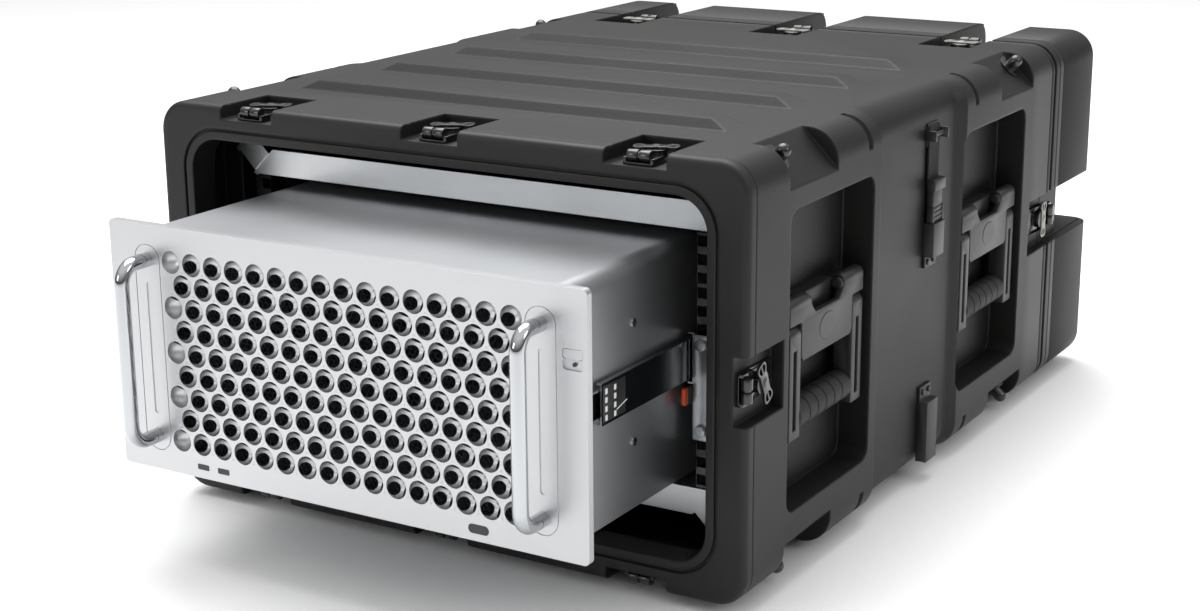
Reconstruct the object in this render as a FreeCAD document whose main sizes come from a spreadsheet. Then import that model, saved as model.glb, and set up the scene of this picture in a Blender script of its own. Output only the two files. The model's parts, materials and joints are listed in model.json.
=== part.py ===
import FreeCAD, Part
import math
import os
import re

import Sketcher
from FreeCAD import Placement, Rotation, Vector

# Shock-mounted equipment rack case, five rack units high, with a slide-out equipment unit.
# Row frame: X across, Y from the front to the rear, Z up; the origin is the middle of the
# footprint, on the surface that the case stands on. Most pieces are drawn in the case frame,
# whose zero is the front rim's plane and the shell's underside, and are then placed.

# Every entry: name, value in millimetres (or a formula of other names), meaning.
SIZES = {
    "Case shell": [
        ("case_width", 611, "across the side bosses"),
        ("case_height", 375.7, "underside to top, without the ribs"),
        ("body_depth", 718, "front rim to rear rim"),
        ("edge_radius", 28.7, "long outer edges"),
        ("rim_round", 6, "outer edge of each rim"),
        ("boss_depth", 267, "length of the front and rear bosses"),
        ("waist_inset", 8, "the waist lies this far inside the bosses"),
        ("waist_ramp", 10, "length of the ramp from a boss down to the waist"),
        ("wall", 5.5, "moulded wall"),
        ("skin", 2, "blocks behind a bay stay this far inside the surface"),
        ("weld", 1, "overlap where a block joins a wall"),
        ("cut_over", 1, "cutting pieces reach this far past a face"),
        ("rim_width", 37, "rim, at each side of the mouth"),
        ("rim_height", 31.7, "rim, above and below the mouth"),
        ("rim_depth", 30, "length of the solid rim"),
        ("mouth_radius", 30, "corners of the mouth"),
        ("groove_inset", 7.5, "from the mouth to the seal groove"),
        ("groove_width", 3, "seal groove"),
        ("groove_depth", 3, "seal groove"),
        ("mid_z", "=case_height / 2", "middle of the shell and of the rack bay"),
    ],
    "Ribs": [
        ("rib_height", 8.8, "crest above the shell"),
        ("rib_first", 127, "front rim to the first rib's middle"),
        ("rib_pitch", 123, "rib to rib"),
        ("rib_count", 4, "ribs on each of the top and the underside"),
        ("rib_foot", 36, "width at the foot"),
        ("rib_crest", 20, "width at the crest"),
        ("rib_foot_half", 228, "half length at the foot"),
        ("rib_crest_half", 210, "half length at the crest"),
    ],
    "Handle recesses": [
        ("recess_front_y", 159, "front rim to the front recess's middle"),
        ("recess_back", 174.5, "rear rim to the rear recess's middle"),
        ("recess_length", 168, "along the case"),
        ("recess_tall", 264, "up the case"),
        ("recess_rise", 3, "recess middle above the shell's middle"),
        ("recess_depth", 30.5, "boss surface to recess floor"),
        ("recess_corner", 13, "corner radius"),
        ("recess_wall", 5, "wall around and behind a recess"),
        ("recess_floor", "=case_width / 2 - recess_depth", "x of the recess floor"),
        ("recess_z", "=mid_z + recess_rise", "height of the recess's middle"),
        ("recess_rear_y", "=body_depth - recess_back", "y of the rear recess's middle"),
    ],
    "Latch bays": [
        ("latch_pitch", 202, "between the three latches of the top and of the underside"),
        ("bay_width", 59, "latch bay, across the pull"),
        ("bay_length", 66, "latch bay, along the pull"),
        ("bay_depth", 12.7, "surface to bay floor"),
        ("bay_wall", 5, "wall behind a bay"),
    ],
    "Corner flats": [
        ("flat_leg", 35, "each leg of the 45 degree flat"),
        ("flat_near", 72, "rim to the near end of a flat"),
        ("flat_far", 165, "rim to the far end of a flat"),
        ("bolt_y", 88, "rim to the isolator bolt"),
        ("flat_wall", 6, "wall under the flat"),
        ("bolt_play", 0.5, "isolator bolt in its hole"),
        ("diagonal", "=sqrt(0.5)", "one leg of a unit diagonal"),
        ("tie_slot_y", 232, "rim to the tie-down slot"),
        ("tie_slot_radius", 4.5, "half width of the tie-down slot"),
    ],
    "Rear lid": [
        ("seam_gap", 2, "body rim to lid rim, filled by the gasket"),
        ("lid_depth", 138, "rim to rear face"),
        ("lid_round", 20, "rear edges"),
        ("lid_wall", 8.5, "moulded wall"),
        ("lid_bay_length", 55, "latch bay carried on over the lid's rim"),
        ("lid_gap_depth", 42, "deep gap between the lid's blocks"),
        ("lid_start", "=body_depth + seam_gap", "y of the lid's rim"),
        ("lid_end", "=lid_start + lid_depth", "y of the lid's rear face"),
    ],
    "Shock-mounted frame": [
        ("frame_inset", 60, "rim to the frame's face plane"),
        ("bay_open_height", 226.9, "clear height between the cross plates"),
        ("plate_half", 248, "half width of the frame"),
        ("plate_tall", 24.4, "face of a cross plate"),
        ("plate_flange", 38, "depth of a cross plate and of a rail"),
        ("plate_thick", 3.5, "aluminium of a cross plate"),
        ("side_thick", 3, "sheet of the side members"),
        ("side_flange", 30, "side member, down the side"),
        ("mount_radius", 14, "rubber isolator"),
        ("mount_shift", 4, "bolt off the flat's middle, away from the side"),
        ("mount_length", 34, "rubber isolator"),
        ("bracket_half", 30, "half length of an isolator bracket"),
        ("bracket_thick", 4, "plate of an isolator bracket"),
        ("cheek_thick", 3, "cheeks of an isolator bracket"),
        ("cheek_inset", 2, "cheeks inside the bracket's edges"),
        ("bolt_radius", 4, "isolator bolt"),
        ("washer_radius", 13, "isolator washer"),
        ("washer_thick", 2, "isolator washer"),
        ("nut_radius", 6.5, "dome nut"),
        ("nut_height", 8, "dome nut, without its dome"),
        ("frame_front", "=frame_inset", "y of the front face plane"),
        ("frame_rear", "=body_depth - frame_inset", "y of the rear face plane"),
        ("bay_half", "=bay_open_height / 2", "half the clear height"),
        ("flat_reach", "=case_width / 2 + case_height / 2 - flat_leg", "flat, |x| + |z|"),
        ("frame_reach", "=plate_half + bay_half", "frame's bevel, |x| + |z|"),
        ("corner_gap", "=(flat_reach - frame_reach) * diagonal", "flat to frame bevel"),
    ],
    "Rack rails": [
        ("rack_units", 5, "height units"),
        ("rack_unit", 44.45, "one height unit"),
        ("hole_first", 6.35, "unit's foot to its first hole"),
        ("hole_step", 15.875, "first to second and second to third hole"),
        ("hole_x", 232.5, "hole column from the middle"),
        ("cage_hole", 9.5, "square hole"),
        ("rail_inner", 227.3, "inner edge of a rail"),
        ("rail_thick", 2.5, "steel of a rail"),
        ("rail_outer", "=plate_half - side_thick", "outer face of a rail"),
        ("rail_half", "=bay_half - side_thick / 2", "half height of a rail"),
        ("rack_low", "=mid_z - rack_units * rack_unit / 2", "foot of the lowest unit"),
    ],
    "Slides": [
        ("slide_rise", 2.2, "slide middle above the bay's middle"),
        ("slide_length", 508, "outer member"),
        ("member_length", 480, "middle and inner members"),
        ("outer_half", 22.5, "half height, outer member"),
        ("middle_half", 17.5, "half height, middle member"),
        ("inner_half", 12.5, "half height, inner member"),
        ("inner_gap", 5.5, "housing to the middle member's web"),
        ("member_thick", 1.5, "steel of a member"),
        ("lip_reach", 4.3, "lips of a member"),
        ("middle_lip", 3, "lips of the middle member"),
        ("inner_lip", 4.5, "lips of the inner member, with the web"),
        ("middle_lead", 86, "middle member ahead of the front rim, as drawn"),
        ("ear_thick", 2.6, "mounting ear"),
        ("ear_low", 119, "foot of the front ear"),
        ("ear_high", 212, "top of the front ear"),
        ("web_thick", 2, "bracket web"),
        ("web_reach", 62, "bracket web behind the ear"),
        ("rear_web_reach", 115, "rear bracket web ahead of its ear"),
        ("web_x", 224.8, "inner face of the bracket web"),
        ("ear_outer", 247.5, "outer edge of an ear"),
        ("screw_radius", 5, "head of a bracket screw"),
        ("screw_head", 2.6, "height of a bracket screw's head"),
        ("screw_shaft", 3, "radius of a bracket screw's thread"),
        ("screw_play", 0.2, "screw in its hole"),
        ("screw_length", 8, "bracket screw under its head"),
        ("lever_x", 221, "release lever's pivot from the middle"),
        ("lever_y", 70, "front rim to the lever's pivot"),
        ("lever_nose", 46, "front rim to the lever's nose"),
        ("lever_low", 151.6, "foot of the lever"),
        ("lever_high", 166.5, "top of the lever"),
        ("lever_hub", 3.2, "radius of the lever's hub"),
        ("lever_pin", 1.5, "radius of the lever's pin"),
        ("lever_tab", 2.5, "tab that carries the lever's pin"),
        ("lever_clear", 0.2, "pin to the lever's arm"),
        ("nose_reach", 1, "lever's nose past its pivot's line"),
        ("nose_length", 7, "lever's nose, along the case"),
        ("slide_z", "=mid_z + slide_rise", "height of the slide's middle"),
    ],
    "Equipment unit": [
        ("panel_reach", 138.1, "panel's face ahead of the front rim, as drawn"),
        ("panel_width", 482.6, "front panel"),
        ("panel_height", 221.5, "front panel"),
        ("panel_thick", 7, "front panel"),
        ("panel_corner", 4.5, "front panel"),
        ("grille_thick", 10, "panel behind the grille"),
        ("grille_half", 190, "half length of the thick field behind the grille"),
        ("screen_thick", 1, "screen behind the grille"),
        ("grille_rows", 9, "rows of dishes"),
        ("grille_holes", 16, "holes of a long row"),
        ("grille_pitch", 23.06, "hole to hole"),
        ("dish_radius", 10, "ball that cuts a dish"),
        ("unit_half", 215, "half width of the housing"),
        ("unit_half_height", 105, "half height of the housing"),
        ("unit_depth", 540, "panel's face to the housing's rear"),
        ("unit_sheet", 1.5, "sheet of the housing"),
        ("cover_drop", 34, "cover, down the side"),
        ("cover_radius", 16, "cover, long edges"),
        ("grip_x", 199.7, "panel handle from the middle"),
        ("grip_half", 79, "half the distance between a handle's feet"),
        ("grip_reach", 32, "panel's face to the handle's middle line"),
        ("grip_radius", 6.4, "panel handle's bar"),
        ("grip_bend", 16, "bend of the handle's middle line"),
        ("inlay_half", 14.2, "half width of the groove around a handle"),
        ("inlay_tall", 186, "length of the groove around a handle"),
        ("inlay_line", 0.8, "width and depth of the groove"),
        ("slot_half", 2.5, "half width of the slot behind a handle"),
        ("slot_reach", 59, "half length of the slot behind a handle"),
        ("round_short", 0.1, "a round end's radius under its half width"),
        ("insert_depth", 4, "pieces set flush into the panel"),
        ("port_half", 6.5, "half width of a port"),
        ("port_half_tall", 2.6, "half height of a port"),
        ("port_corner", 1, "corners of a port"),
        ("port_x", -149.9, "first port from the middle"),
        ("jack_x", -127.2, "second port from the middle"),
        ("badge_x", 138.1, "badge from the middle"),
        ("badge_half", 10, "half width of the badge"),
        ("badge_half_tall", 4, "half height of the badge"),
        ("lamp_shift", 1.3, "lamp off the key's middle"),
        ("lamp_radius", 1.6, "lamp"),
        ("lamp_z", 50.6, "lamp above the middle"),
        ("side_screw_y", 113, "panel's face to the housing's first screws"),
        ("side_screw_high", 53.6, "upper side screws above the middle"),
        ("side_screw_low", -47, "lower side screws above the middle"),
        ("side_screw_radius", 3.4, "head of a side screw"),
        ("side_screw_head", 1.6, "height of a side screw's head"),
        ("key_x", 228.2, "power key from the middle"),
        ("key_z", 58.8, "power key above the middle"),
        ("key_width", 18, "power key"),
        ("key_tall", 8.2, "power key"),
        ("key_drop", 17, "height of the key's dish"),
        ("dish_corner", 3, "corners of the key's dish"),
        ("key_corner", 2, "corners of the key"),
        ("well_skin", 1, "panel left behind the key"),
        ("key_travel", 1.2, "power key"),
        ("port_z", -100.4, "row of ports, from the middle"),
        ("row_pitch", "=grille_pitch * sqrt(3) / 2", "grille row to row"),
    ],
    "Spring handles": [
        ("handle_half", 73.5, "half width"),
        ("handle_top", 52, "hinge plate's top above the recess's middle"),
        ("handle_face", 4, "handle's face inside the boss surface"),
        ("plate_depth", 6, "hinge plate"),
        ("hinge_drop", 33, "hinge line under the plate's top"),
        ("hinge_in", 10, "hinge line behind the face"),
        ("ear_drop", 22.4, "ears of the hinge plate"),
        ("skirt_half", 50.7, "half width of the plate's skirt"),
        ("skirt_drop", 57, "skirt's foot under the plate's top"),
        ("notch_half", 30, "half width of the notch"),
        ("notch_drop", 19, "depth of the notch"),
        ("notch_slope", 7, "notch's sides, from top to foot"),
        ("leg_width", 12, "legs behind a hinge plate"),
        ("leg_half", 16, "half height of a leg"),
        ("pin_root", 6, "hinge pin inside the skirt"),
        ("arm_clear", 0.5, "arm inside the plate's end"),
        ("arm_inner", 52, "inner face of an arm"),
        ("arm_drop", 90, "arm's foot under the hinge line"),
        ("arm_depth", 18.5, "arm, front to back"),
        ("arm_slot", 6, "slot in an arm"),
        ("arm_slot_depth", 12, "slot in an arm"),
        ("slot_foot", 8, "slot above the arm's foot"),
        ("slot_top", 2, "slot under the arm's hub"),
        ("pin_radius", 3, "hinge pin"),
        ("pin_play", 0.05, "running clearance on the pin"),
        ("hand_radius", 13.5, "soft grip"),
        ("hand_drop", 73.5, "grip's middle under the hinge line"),
        ("core_radius", 6, "bar inside the grip"),
        ("core_root", 2, "bar inside an arm"),
        ("hand_clear", 0.6, "grip to the recess floor"),
        ("arm_outer", "=handle_half - arm_clear", "outer face of an arm"),
        ("face_x", "=case_width / 2 - handle_face", "x of the handle's face"),
        ("hinge_x", "=face_x - hinge_in", "x of the hinge line"),
        ("hinge_z", "=recess_z + handle_top - hinge_drop", "height of the hinge line"),
        ("hand_x", "=recess_floor + hand_radius + hand_clear", "x of the grip's middle"),
    ],
    "Latches": [
        ("wing_front_y", 36, "front rim to a front latch's axis"),
        ("wing_rear_y", 12, "rear rim to a rear latch's axis"),
        ("wing_half", 19.5, "half length of a wing"),
        ("wing_width", 15, "wing"),
        ("wing_thick", 2.2, "wing"),
        ("wing_lean", 25, "degrees that a front wing is turned"),
        ("window_inset", 6, "wing's tip to its window's middle"),
        ("window_half", 1.8, "half width of a wing's window"),
        ("window_corner", 1.5, "corners of a wing's window"),
        ("rivet_height", 1.4, "rivet on a wing"),
        ("hub_thick", 2, "disc under a wing"),
        ("hub_radius", 10, "disc under a wing"),
        ("hub_height", 5, "post under the disc"),
        ("base_half", 14, "half width of a latch base"),
        ("base_thick", 2, "latch base"),
        ("base_front", 6, "front rim to a front latch's base"),
        ("base_rear", 0.5, "rear rim to a rear latch's base"),
        ("base_end", 3, "latch base to the end of its bay"),
        ("guide_thick", 3, "guides beside the claw"),
        ("guide_gap", 1, "guides and post to the hub's edge"),
        ("guide_height", 4, "guides beside the claw"),
        ("claw_half", 9, "half width of the claw"),
        ("claw_reach", 26, "axis to the claw's roller"),
        ("claw_thick", 3, "claw's tongue"),
        ("roller_radius", 5, "claw's roller"),
        ("roller_half", 10.5, "half length of the roller"),
        ("roller_groove", 1.5, "depth of the roller's groove"),
        ("groove_half", 1, "half width of the roller's groove"),
        ("keeper_length", 18, "keeper's foot"),
        ("keeper_thick", 5, "keeper's post, along the pull"),
        ("keeper_tall", 10, "keeper's post"),
        ("play", 0.3, "clearance between moving pieces"),
    ],
    "Tie-down straps": [
        ("strap_y", 391, "front rim to the buckles' middle"),
        ("strap_width", 25, "webbing"),
        ("strap_thick", 2, "webbing"),
        ("loop_z", 334, "middle of the anchor loop"),
        ("strap_top", 343, "top of the webbing"),
        ("anchor_half", 11, "half height of the anchor plate"),
        ("cheek_half", 5, "half height of the anchor's cheeks"),
        ("anchor_cheek", 3, "anchor's cheeks, along the case"),
        ("clip_top", 292, "top of the clip"),
        ("clip_foot", 250, "clip's shoulder on its socket"),
        ("socket_foot", 217, "foot of the socket"),
        ("tab_drop", 11, "screw tab"),
        ("tab_thick", 3, "screw tab off the waist"),
        ("tab_screw_radius", 3, "screw on a tab"),
        ("tab_screw_height", 1.8, "screw on a tab"),
        ("tab_screw_y", 7, "screw from the tab's middle"),
        ("buckle_half", 13, "half width of a buckle"),
        ("buckle_thick", 11, "buckle off the waist"),
        ("prong_length", 22, "clip's prong in the socket"),
        ("prong_half", 8, "half width of the prong"),
        ("prong_thick", 5, "thickness of the prong"),
        ("web_lift", 1.5, "webbing off the waist"),
        ("loop_bar", 2, "radius of the anchor's bar"),
        ("low_buckle_top", 76, "top of the lower buckle"),
        ("low_buckle_foot", 12, "foot of the lower buckle"),
        ("low_step", 3, "lower buckle's body under its top"),
        ("waist_x", "=case_width / 2 - waist_inset", "x of the waist's surface"),
    ],
    "Row frame": [
        ("span", "=panel_reach + grip_reach + grip_radius + lid_end", "front to rear"),
        ("front_y", "=panel_reach + grip_reach + grip_radius - span / 2", "y of the front rim"),
        ("unit_y", "=front_y - panel_reach", "y of the panel's face"),
        ("unit_z", "=rib_height + mid_z", "height of the panel's middle"),
    ],
}

DOC = FreeCAD.newDocument("RackCase")
SHEET = DOC.addObject("Spreadsheet::Sheet", "Sizes")
ALIASES = set()
PARTS = {}
CUTS = []
AXIS_OF_PLANE = {"XY": 1, "XZ": -1, "YZ": 1}


def fill_sheet():
    """Write every size, its meaning and its alias into the spreadsheet."""
    row = 1
    for title, entries in SIZES.items():
        SHEET.set("A%d" % row, title)
        for name, value, meaning in entries:
            row += 1
            SHEET.set("A%d" % row, name)
            SHEET.set("B%d" % row, str(value))
            SHEET.set("C%d" % row, meaning)
            SHEET.setAlias("B%d" % row, name)
            ALIASES.add(name)
        row += 2
    DOC.recompute()


def linked(text):
    """Return a formula of bare size names as a formula that reads the sheet."""
    def link(match):
        word = match.group(0)
        return "Sizes." + word if word in ALIASES else word
    return re.sub(r"[a-z_]+", link, str(text))


def number(text):
    """Return the present value of a formula of size names."""
    value = SHEET.evalExpression(linked(text))
    return float(getattr(value, "Value", value))


def bind(item, prop, text):
    """Tie a property to a formula of size names."""
    item.setExpression(prop, linked(text))


def place(item, x="0", y="0", z="0", turn=None):
    """Put an object at a bound position, with an optional fixed rotation."""
    item.Placement = Placement(Vector(number(x), number(y), number(z)), turn or Rotation())
    for axis, text in zip("xyz", (x, y, z)):
        bind(item, "Placement.Base." + axis, text)
    return item


def in_case(item):
    """Place a piece drawn in the case frame."""
    return place(item, "0", "front_y", "rib_height")


def in_unit(item):
    """Place a piece drawn in the frame of the equipment unit's panel."""
    return place(item, "0", "unit_y", "unit_z")


def keep(label, item):
    """Register a finished sub-part under the name of its file."""
    item.Label = label
    PARTS[label] = item
    return item


def lies_on(edge, axis, level):
    """Tell whether an edge's ends and middle all have one coordinate at a level."""
    points = [vertex.Point for vertex in edge.Vertexes]
    points.append(edge.valueAt((edge.FirstParameter + edge.LastParameter) / 2))
    return all(abs(getattr(point, axis) - level) < 0.01 for point in points)


class Blank:
    """A PartDesign body that gains pads and loses pockets, one bound feature at a time."""

    def __init__(self, name):
        self.name = name
        self.body = DOC.addObject("PartDesign::Body", name)
        self.steps = 0

    def feature(self, kind):
        """Add a feature of one PartDesign kind."""
        self.steps += 1
        item = self.body.newObject("PartDesign::" + kind, "%s_%s%d" % (self.name, kind, self.steps))
        item.Refine = False
        return item

    def sketch(self, plane, level, shapes):
        """Draw closed shapes on an origin plane moved to a level."""
        self.steps += 1
        drawing = self.body.newObject("Sketcher::SketchObject", "%s_Sketch%d" % (self.name, self.steps))
        roles = {item.Role: item for item in self.body.Origin.OriginFeatures}
        drawing.AttachmentSupport = (roles[plane + "_Plane"], [""])
        drawing.MapMode = "FlatFace"
        sign = "" if AXIS_OF_PLANE[plane] > 0 else "-"
        bind(drawing, "AttachmentOffset.Base.z", "%s(%s)" % (sign, level))
        for shape in shapes:
            shape(drawing)
        return drawing

    def pad(self, plane, low, high, *shapes):
        """Add material between two levels along a plane's axis."""
        drawing = self.sketch(plane, low, shapes)
        pad = self.feature("Pad")
        pad.Profile = drawing
        pad.Reversed = AXIS_OF_PLANE[plane] < 0
        bind(pad, "Length", "(%s) - (%s)" % (high, low))
        return pad

    def pocket(self, plane, low, high, *shapes):
        """Remove material between two levels along a plane's axis."""
        before = self.body.Tip
        drawing = self.sketch(plane, low, shapes)
        pocket = self.feature("Pocket")
        pocket.Profile = drawing
        pocket.Reversed = AXIS_OF_PLANE[plane] > 0
        bind(pocket, "Length", "(%s) - (%s)" % (high, low))
        CUTS.append((before, pocket))
        return pocket

    def loft(self, plane, low, high, near, far):
        """Add material that blends from one outline to another."""
        loft = self.feature("AdditiveLoft")
        loft.Profile = self.sketch(plane, low, [near])
        loft.Sections = [(self.sketch(plane, high, [far]), [""])]
        return loft

    def dress(self, kind, prop, size, chosen):
        """Round or bevel the edges of the present shape that a test chooses."""
        DOC.recompute()
        base = self.body.Tip
        names = ["Edge%d" % (i + 1) for i, edge in enumerate(base.Shape.Edges) if chosen(edge)]
        if not names:
            raise ValueError("no edge to dress on " + self.name)
        dressing = self.feature(kind)
        dressing.Base = (base, names)
        bind(dressing, prop, size)
        return dressing

    def fillet(self, radius, chosen):
        """Round chosen edges."""
        return self.dress("Fillet", "Radius", radius, chosen)

    def primitive(self, kind, sizes, x="0", y="0", z="0", turn=None):
        """Add or remove a primitive of bound sizes at a bound place."""
        before = self.body.Tip
        item = self.feature(kind)
        for prop, text in sizes.items():
            bind(item, prop, text)
        place(item, x, y, z, turn)
        if kind.startswith("Subtractive"):
            CUTS.append((before, item))
        return item

    def repeat(self, originals, axis, pitch, count):
        """Repeat features along an origin axis of the body."""
        pattern = self.feature("LinearPattern")
        pattern.Originals = originals
        role = {item.Role: item for item in self.body.Origin.OriginFeatures}[axis + "_Axis"]
        pattern.Direction = (role, [""])
        bind(pattern, "Length", "(%s) * (%s - 1)" % (pitch, count))
        bind(pattern, "Occurrences", count)
        self.body.Tip = pattern
        return pattern

    def lattice(self, original, across, up):
        """Repeat a feature in rows and columns: an axis, a pitch and a count for each."""
        pattern = self.feature("LinearPattern")
        pattern.Originals = [original]
        roles = {item.Role: item for item in self.body.Origin.OriginFeatures}
        for suffix, (axis, pitch, count) in (("", across), ("2", up)):
            setattr(pattern, "Direction" + suffix, (roles[axis + "_Axis"], [""]))
            bind(pattern, "Occurrences" + suffix, count)
            bind(pattern, "Length" + suffix, "(%s) * (%s - 1)" % (pitch, count))
            if axis == "Z":
                setattr(pattern, "Reversed" + suffix, True)
        self.body.Tip = pattern
        return pattern


def tie(drawing, geometry, point, x=None, y=None):
    """Bind a sketch point's coordinates to formulas."""
    for kind, text in (("DistanceX", x), ("DistanceY", y)):
        if text is not None:
            rule = Sketcher.Constraint(kind, -1, 1, geometry, point, number(text))
            bind(drawing, "Constraints[%d]" % drawing.addConstraint(rule), text)


def polygon(*corners):
    """A closed outline through corners given as pairs of formulas."""
    def draw(drawing):
        spots = [Vector(number(x), number(y), 0) for x, y in corners]
        lines = [Part.LineSegment(spots[i - 1], spots[i]) for i in range(len(spots))]
        first = drawing.addGeometry(lines, False)[0]
        count = len(corners)
        for i in range(count):
            rule = Sketcher.Constraint("Coincident", first + i, 2, first + (i + 1) % count, 1)
            drawing.addConstraint(rule)
        for i, (x, y) in enumerate(corners):
            tie(drawing, first + i, 2, x, y)
    return draw


def rectangle(left, right, low, high):
    """A sharp rectangle between bound limits."""
    return polygon((left, low), (right, low), (right, high), (left, high))


def rounded(left, right, low, high, radius):
    """A rectangle with round corners between bound limits."""
    def draw(drawing):
        x0, x1, y0, y1, r = (number(text) for text in (left, right, low, high, radius))
        spots = [(x0 + r, y0), (x1 - r, y0), (x1, y0 + r), (x1, y1 - r),
                 (x1 - r, y1), (x0 + r, y1), (x0, y1 - r), (x0, y0 + r)]
        middles = [(x1 - r, y0 + r), (x1 - r, y1 - r), (x0 + r, y1 - r), (x0 + r, y0 + r)]
        quarter = math.pi / 2
        sides = []
        for i, (x, y) in enumerate(middles):
            start, end = spots[2 * i], spots[2 * i + 1]
            line = Part.LineSegment(Vector(*start, 0), Vector(*end, 0))
            circle = Part.Circle(Vector(x, y, 0), Vector(0, 0, 1), r)
            arc = Part.ArcOfCircle(circle, quarter * (i - 1), quarter * i)
            sides += drawing.addGeometry([line, arc], False)
        rules = []
        for i in range(8):
            rules.append(Sketcher.Constraint("Tangent", sides[i], 2, sides[(i + 1) % 8], 1))
        for i in range(4):
            rules.append(Sketcher.Constraint("Vertical" if i % 2 else "Horizontal", sides[2 * i]))
        for i in range(1, 4):
            rules.append(Sketcher.Constraint("Equal", sides[1], sides[2 * i + 1]))
        drawing.addConstraint(rules)
        bend = drawing.addConstraint(Sketcher.Constraint("Radius", sides[1], r))
        bind(drawing, "Constraints[%d]" % bend, radius)
        tie(drawing, sides[0], 1, y=low)
        tie(drawing, sides[2], 1, x=right)
        tie(drawing, sides[4], 1, y=high)
        tie(drawing, sides[6], 1, x=left)
    return draw


def disc(x, y, radius):
    """A circle of bound middle and radius."""
    def draw(drawing):
        circle = Part.Circle(Vector(number(x), number(y), 0), Vector(0, 0, 1), number(radius))
        geometry = drawing.addGeometry(circle, False)
        rule = Sketcher.Constraint("Radius", geometry, number(radius))
        bind(drawing, "Constraints[%d]" % drawing.addConstraint(rule), radius)
        tie(drawing, geometry, 3, x, y)
    return draw


def block(name, low, high, turn=None, at=("0", "0", "0")):
    """A Part box between two bound corners, optionally turned about a bound point."""
    item = DOC.addObject("Part::Box", name)
    for prop, start, end in zip(("Length", "Width", "Height"), low, high):
        bind(item, prop, "(%s) - (%s)" % (end, start))
    if turn is None:
        return place(item, *("(%s) + (%s)" % pair for pair in zip(low, at)))
    shift = [number(text) for text in low]
    moved = turn.multVec(Vector(*shift))
    item.Placement = Placement(moved + Vector(*(number(text) for text in at)), turn)
    for axis, base in zip("xyz", at):
        row = [getattr(turn.multVec(Vector(*unit)), axis) for unit in ((1, 0, 0), (0, 1, 0), (0, 0, 1))]
        terms = ["(%s) * %.12f" % (text, share) for text, share in zip(low, row) if abs(share) > 1e-9]
        bind(item, "Placement.Base." + axis, " + ".join(["(%s)" % base] + terms))
    return item


def rod(name, radius, start, length, direction, at):
    """A Part cylinder that starts at a bound distance from a point, along a direction."""
    item = DOC.addObject("Part::Cylinder", name)
    bind(item, "Radius", radius)
    bind(item, "Height", length)
    unit = Vector(direction).normalize()
    turn = Rotation(Vector(0, 0, 1), unit)
    spots = []
    for base, share in zip(at, unit):
        spots.append("(%s) + (%s) * %.12f" % (base, start, share))
    return place(item, *spots, turn)


def ball(name, radius, at):
    """A Part sphere at a bound point."""
    item = DOC.addObject("Part::Sphere", name)
    bind(item, "Radius", radius)
    return place(item, *at)


def joined(name, *items):
    """Fuse pieces into one solid."""
    item = DOC.addObject("Part::MultiFuse", name)
    item.Shapes = list(items)
    return item


def minus(name, base, *tools):
    """Cut tools out of a piece."""
    item = DOC.addObject("Part::Cut", name)
    item.Base = base
    item.Tool = tools[0] if len(tools) == 1 else joined(name + "_tools", *tools)
    return item


def group(label, *items):
    """Gather separate solids into one sub-part."""
    item = DOC.addObject("Part::Compound", label)
    item.Links = list(items)
    return keep(label, item)


def compound(name, pieces):
    """Gather pieces without registering them as a sub-part."""
    item = DOC.addObject("Part::Compound", name)
    item.Links = list(pieces)
    return item


def mirrored(name, source):
    """Mirror a placed piece to the left side of the row frame."""
    item = DOC.addObject("Part::Mirroring", name)
    item.Source = source
    item.Normal = Vector(1, 0, 0)
    return item


# --- Shell ---------------------------------------------------------------------------------

def mouth_outline(grow):
    """The mouth's outline, grown by a formula."""
    return rounded("-(case_width / 2 - rim_width + %s)" % grow, "case_width / 2 - rim_width + %s" % grow,
                   "rim_height - (%s)" % grow, "case_height - rim_height + %s" % grow,
                   "mouth_radius + %s" % grow)


def cavity_outline(half, inset, bevel):
    """An eight-sided outline with bevelled corners, inside the shell's wall."""
    corners = []
    for sx, sz, first in ((1, -1, "x"), (1, 1, "z"), (-1, 1, "x"), (-1, -1, "z")):
        level = inset if sz < 0 else "case_height - (%s)" % inset
        step = "+" if sz < 0 else "-"
        flat = ("%d * (%s - (%s))" % (sx, half, bevel), level)
        side = ("%d * (%s)" % (sx, half), "%s %s (%s)" % (level, step, bevel))
        corners += [flat, side] if first == "x" else [side, flat]
    return polygon(*corners)


def latch_sites():
    """Yield name, side axis, sign and lateral place of the eight latches of a rim."""
    for name, shift in (("left", "-latch_pitch"), ("middle", "0"), ("right", "latch_pitch")):
        yield "top_" + name, "z", 1, shift
        yield "under_" + name, "z", -1, shift
    yield "side_left", "x", -1, "0"
    yield "side_right", "x", 1, "0"


def site_box(axis, sign, shift, grow, deep):
    """Limits across and up of a bay of a given depth, grown sideways and inwards."""
    if axis == "z":
        across = ("%s - bay_width / 2 - %s" % (shift, grow), "%s + bay_width / 2 + %s" % (shift, grow))
        if sign > 0:
            return across + ("case_height - (%s)" % deep, "case_height")
        return across + ("0", deep)
    up = ("mid_z - bay_width / 2 - %s" % grow, "mid_z + bay_width / 2 + %s" % grow)
    if sign > 0:
        return ("case_width / 2 - (%s)" % deep, "case_width / 2") + up
    return ("-case_width / 2", "-(case_width / 2 - (%s))" % deep) + up


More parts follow.
